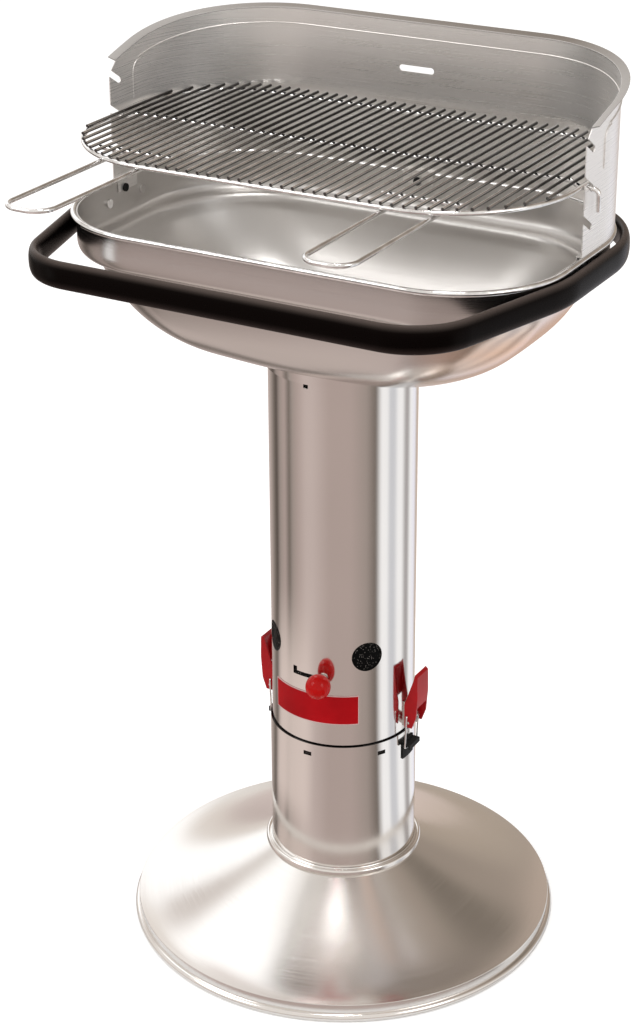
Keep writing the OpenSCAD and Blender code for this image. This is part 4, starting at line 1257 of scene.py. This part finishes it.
class GRILL_OT_stage(Operator):
    """Pale floor, studio cards, lamps and camera"""
    bl_idname = "grill.stage"
    bl_label = "Stage"

    def execute(self, context):
        s = context.scene.charcoal_grill.stage
        scene = context.scene
        scene.view_settings.view_transform = "Standard"
        self.floor()
        self.floor_card()
        self.sky_card()
        self.world(scene, s.fill)
        for lamp in LAMPS:
            self.lamp(*lamp)
        self.camera(scene, s.lens)
        return {"FINISHED"}

    def floor(self):
        """A matt floor that the camera sees as white."""
        mesh = bpy.data.meshes.new("floor")
        corners = [(x * FLOOR_HALF, y * FLOOR_HALF, 0) for x, y in ((-1, -1), (1, -1), (1, 1), (-1, 1))]
        mesh.from_pydata(corners, [], [(0, 1, 2, 3)])
        f = Finish("pale_floor", (0.9, 0.9, 0.9), 0.0, 0.9, 0.0)
        seen = f.node("ShaderNodeLightPath").outputs["Is Camera Ray"]
        white = f.add("ShaderNodeEmission", {"Strength": f.times(seen, FLOOR_WHITE)})
        both = f.add("ShaderNodeAddShader", {0: f.surface.outputs[0], 1: white})
        f.feed(f.tree.nodes["Material Output"].inputs["Surface"], both)
        mesh.materials.append(f.material)
        add_object("floor", mesh)

    def floor_card(self):
        """A ring on the floor whose tone changes round the column, as cards on a studio floor do."""
        n = 180
        verts = []
        for i in range(n):
            turn = 2 * math.pi * i / n
            verts += [(r * math.cos(turn), r * math.sin(turn), CARD_Z) for r in CARD_RADII]
        faces = [(2 * i, 2 * i + 1, (2 * i + 3) % (2 * n), (2 * i + 2) % (2 * n)) for i in range(n)]
        mesh = bpy.data.meshes.new("floor_card")
        mesh.from_pydata(verts, [], faces)
        card("floor_card", mesh, floor_colour)

    def sky_card(self):
        """A dome with soft pale and warm areas over the grill."""
        work = bmesh.new()
        bmesh.ops.create_uvsphere(work, u_segments=48, v_segments=24, radius=DOME_R)
        bmesh.ops.delete(work, geom=[v for v in work.verts if v.co.z < DOME_LOW], context="VERTS")
        bmesh.ops.reverse_faces(work, faces=work.faces)
        mesh = bpy.data.meshes.new("sky_card")
        work.to_mesh(mesh)
        work.free()
        card("sky_card", mesh, sky_colour)

    def world(self, scene, fill):
        """Even light on the pieces, and white where the camera or a mirror looks past them."""
        world = bpy.data.worlds.new("studio")
        scene.world = world
        world.use_nodes = True
        world.node_tree.nodes.clear()
        f = Nodes(world.node_tree)
        ray = f.node("ShaderNodeLightPath").outputs
        seen = f.larger(f.larger(ray["Is Camera Ray"], ray["Is Glossy Ray"]), ray["Is Transmission Ray"])
        even = f.add("ShaderNodeBackground", {"Color": (1.0, 0.985, 0.97), "Strength": fill})
        white = f.add("ShaderNodeBackground", {"Color": (1, 1, 1), "Strength": 1.0})
        mix = f.add("ShaderNodeMixShader", {0: seen, 1: even, 2: white})
        f.feed(f.node("ShaderNodeOutputWorld").inputs["Surface"], mix)

    def lamp(self, name, place, target, size, power):
        """A round lamp that looks at its target."""
        data = bpy.data.lights.new(name, "AREA")
        data.shape = "DISK"
        data.size = size
        data.energy = power
        lamp = add_object(name, data)
        lamp.location = place
        lamp.rotation_euler = (Vector(target) - Vector(place)).to_track_quat("-Z", "Y").to_euler()

    def camera(self, scene, lens):
        """The camera of the reference view."""
        data = bpy.data.cameras.new("camera")
        data.sensor_fit = "AUTO"
        data.sensor_width = 36.0
        data.lens = lens
        data.clip_start = 0.1
        data.clip_end = 50.0
        camera = add_object("camera", data)
        azimuth, distance, height, tilt, yaw, roll = CAMERA
        back = Vector(direction(azimuth + yaw, tilt))
        level = Vector(direction(azimuth + yaw + 90))
        up = back.cross(level)
        turn = math.radians(roll)
        right = math.cos(turn) * level + math.sin(turn) * up
        top = -math.sin(turn) * level + math.cos(turn) * up
        place = distance * Vector(direction(azimuth)) + Vector((0, 0, height))
        camera.matrix_world = Matrix.Translation(place) @ Matrix((right, top, back)).transposed().to_4x4()
        scene.camera = camera


class GRILL_PT_panel(Panel):
    """Lists the grill's settings and pieces"""
    bl_idname = "GRILL_PT_panel"
    bl_label = "Charcoal grill"
    bl_space_type = "VIEW_3D"
    bl_region_type = "UI"
    bl_category = "Grill"

    def draw(self, context):
        s = context.scene.charcoal_grill
        for group in (s.steel, s.paint, s.grate, s.stage):
            box = self.layout.box()
            for name in group.__annotations__:
                box.prop(group, name)
        for operator in PIECES:
            self.layout.operator(operator.bl_idname)


PIECES = (GRILL_OT_foot, GRILL_OT_column, GRILL_OT_valve, GRILL_OT_clips, GRILL_OT_bowl, GRILL_OT_shield,
          GRILL_OT_rail, GRILL_OT_grate, GRILL_OT_stage)
CLASSES = (GrillSteel, GrillPaint, GrillGrate, GrillStage, GrillSettings) + PIECES + (GRILL_PT_panel,)


def register():
    for cls in CLASSES:
        bpy.utils.register_class(cls)
    bpy.types.Scene.charcoal_grill = PointerProperty(type=GrillSettings)


def unregister():
    del bpy.types.Scene.charcoal_grill
    for cls in reversed(CLASSES):
        bpy.utils.unregister_class(cls)


def main():
    register()
    bpy.ops.grill.foot()
    bpy.ops.grill.column()
    bpy.ops.grill.valve()
    bpy.ops.grill.clips()
    bpy.ops.grill.bowl()
    bpy.ops.grill.shield()
    bpy.ops.grill.rail()
    bpy.ops.grill.grate()
    bpy.ops.grill.stage()


if __name__ == "__main__":
    main()
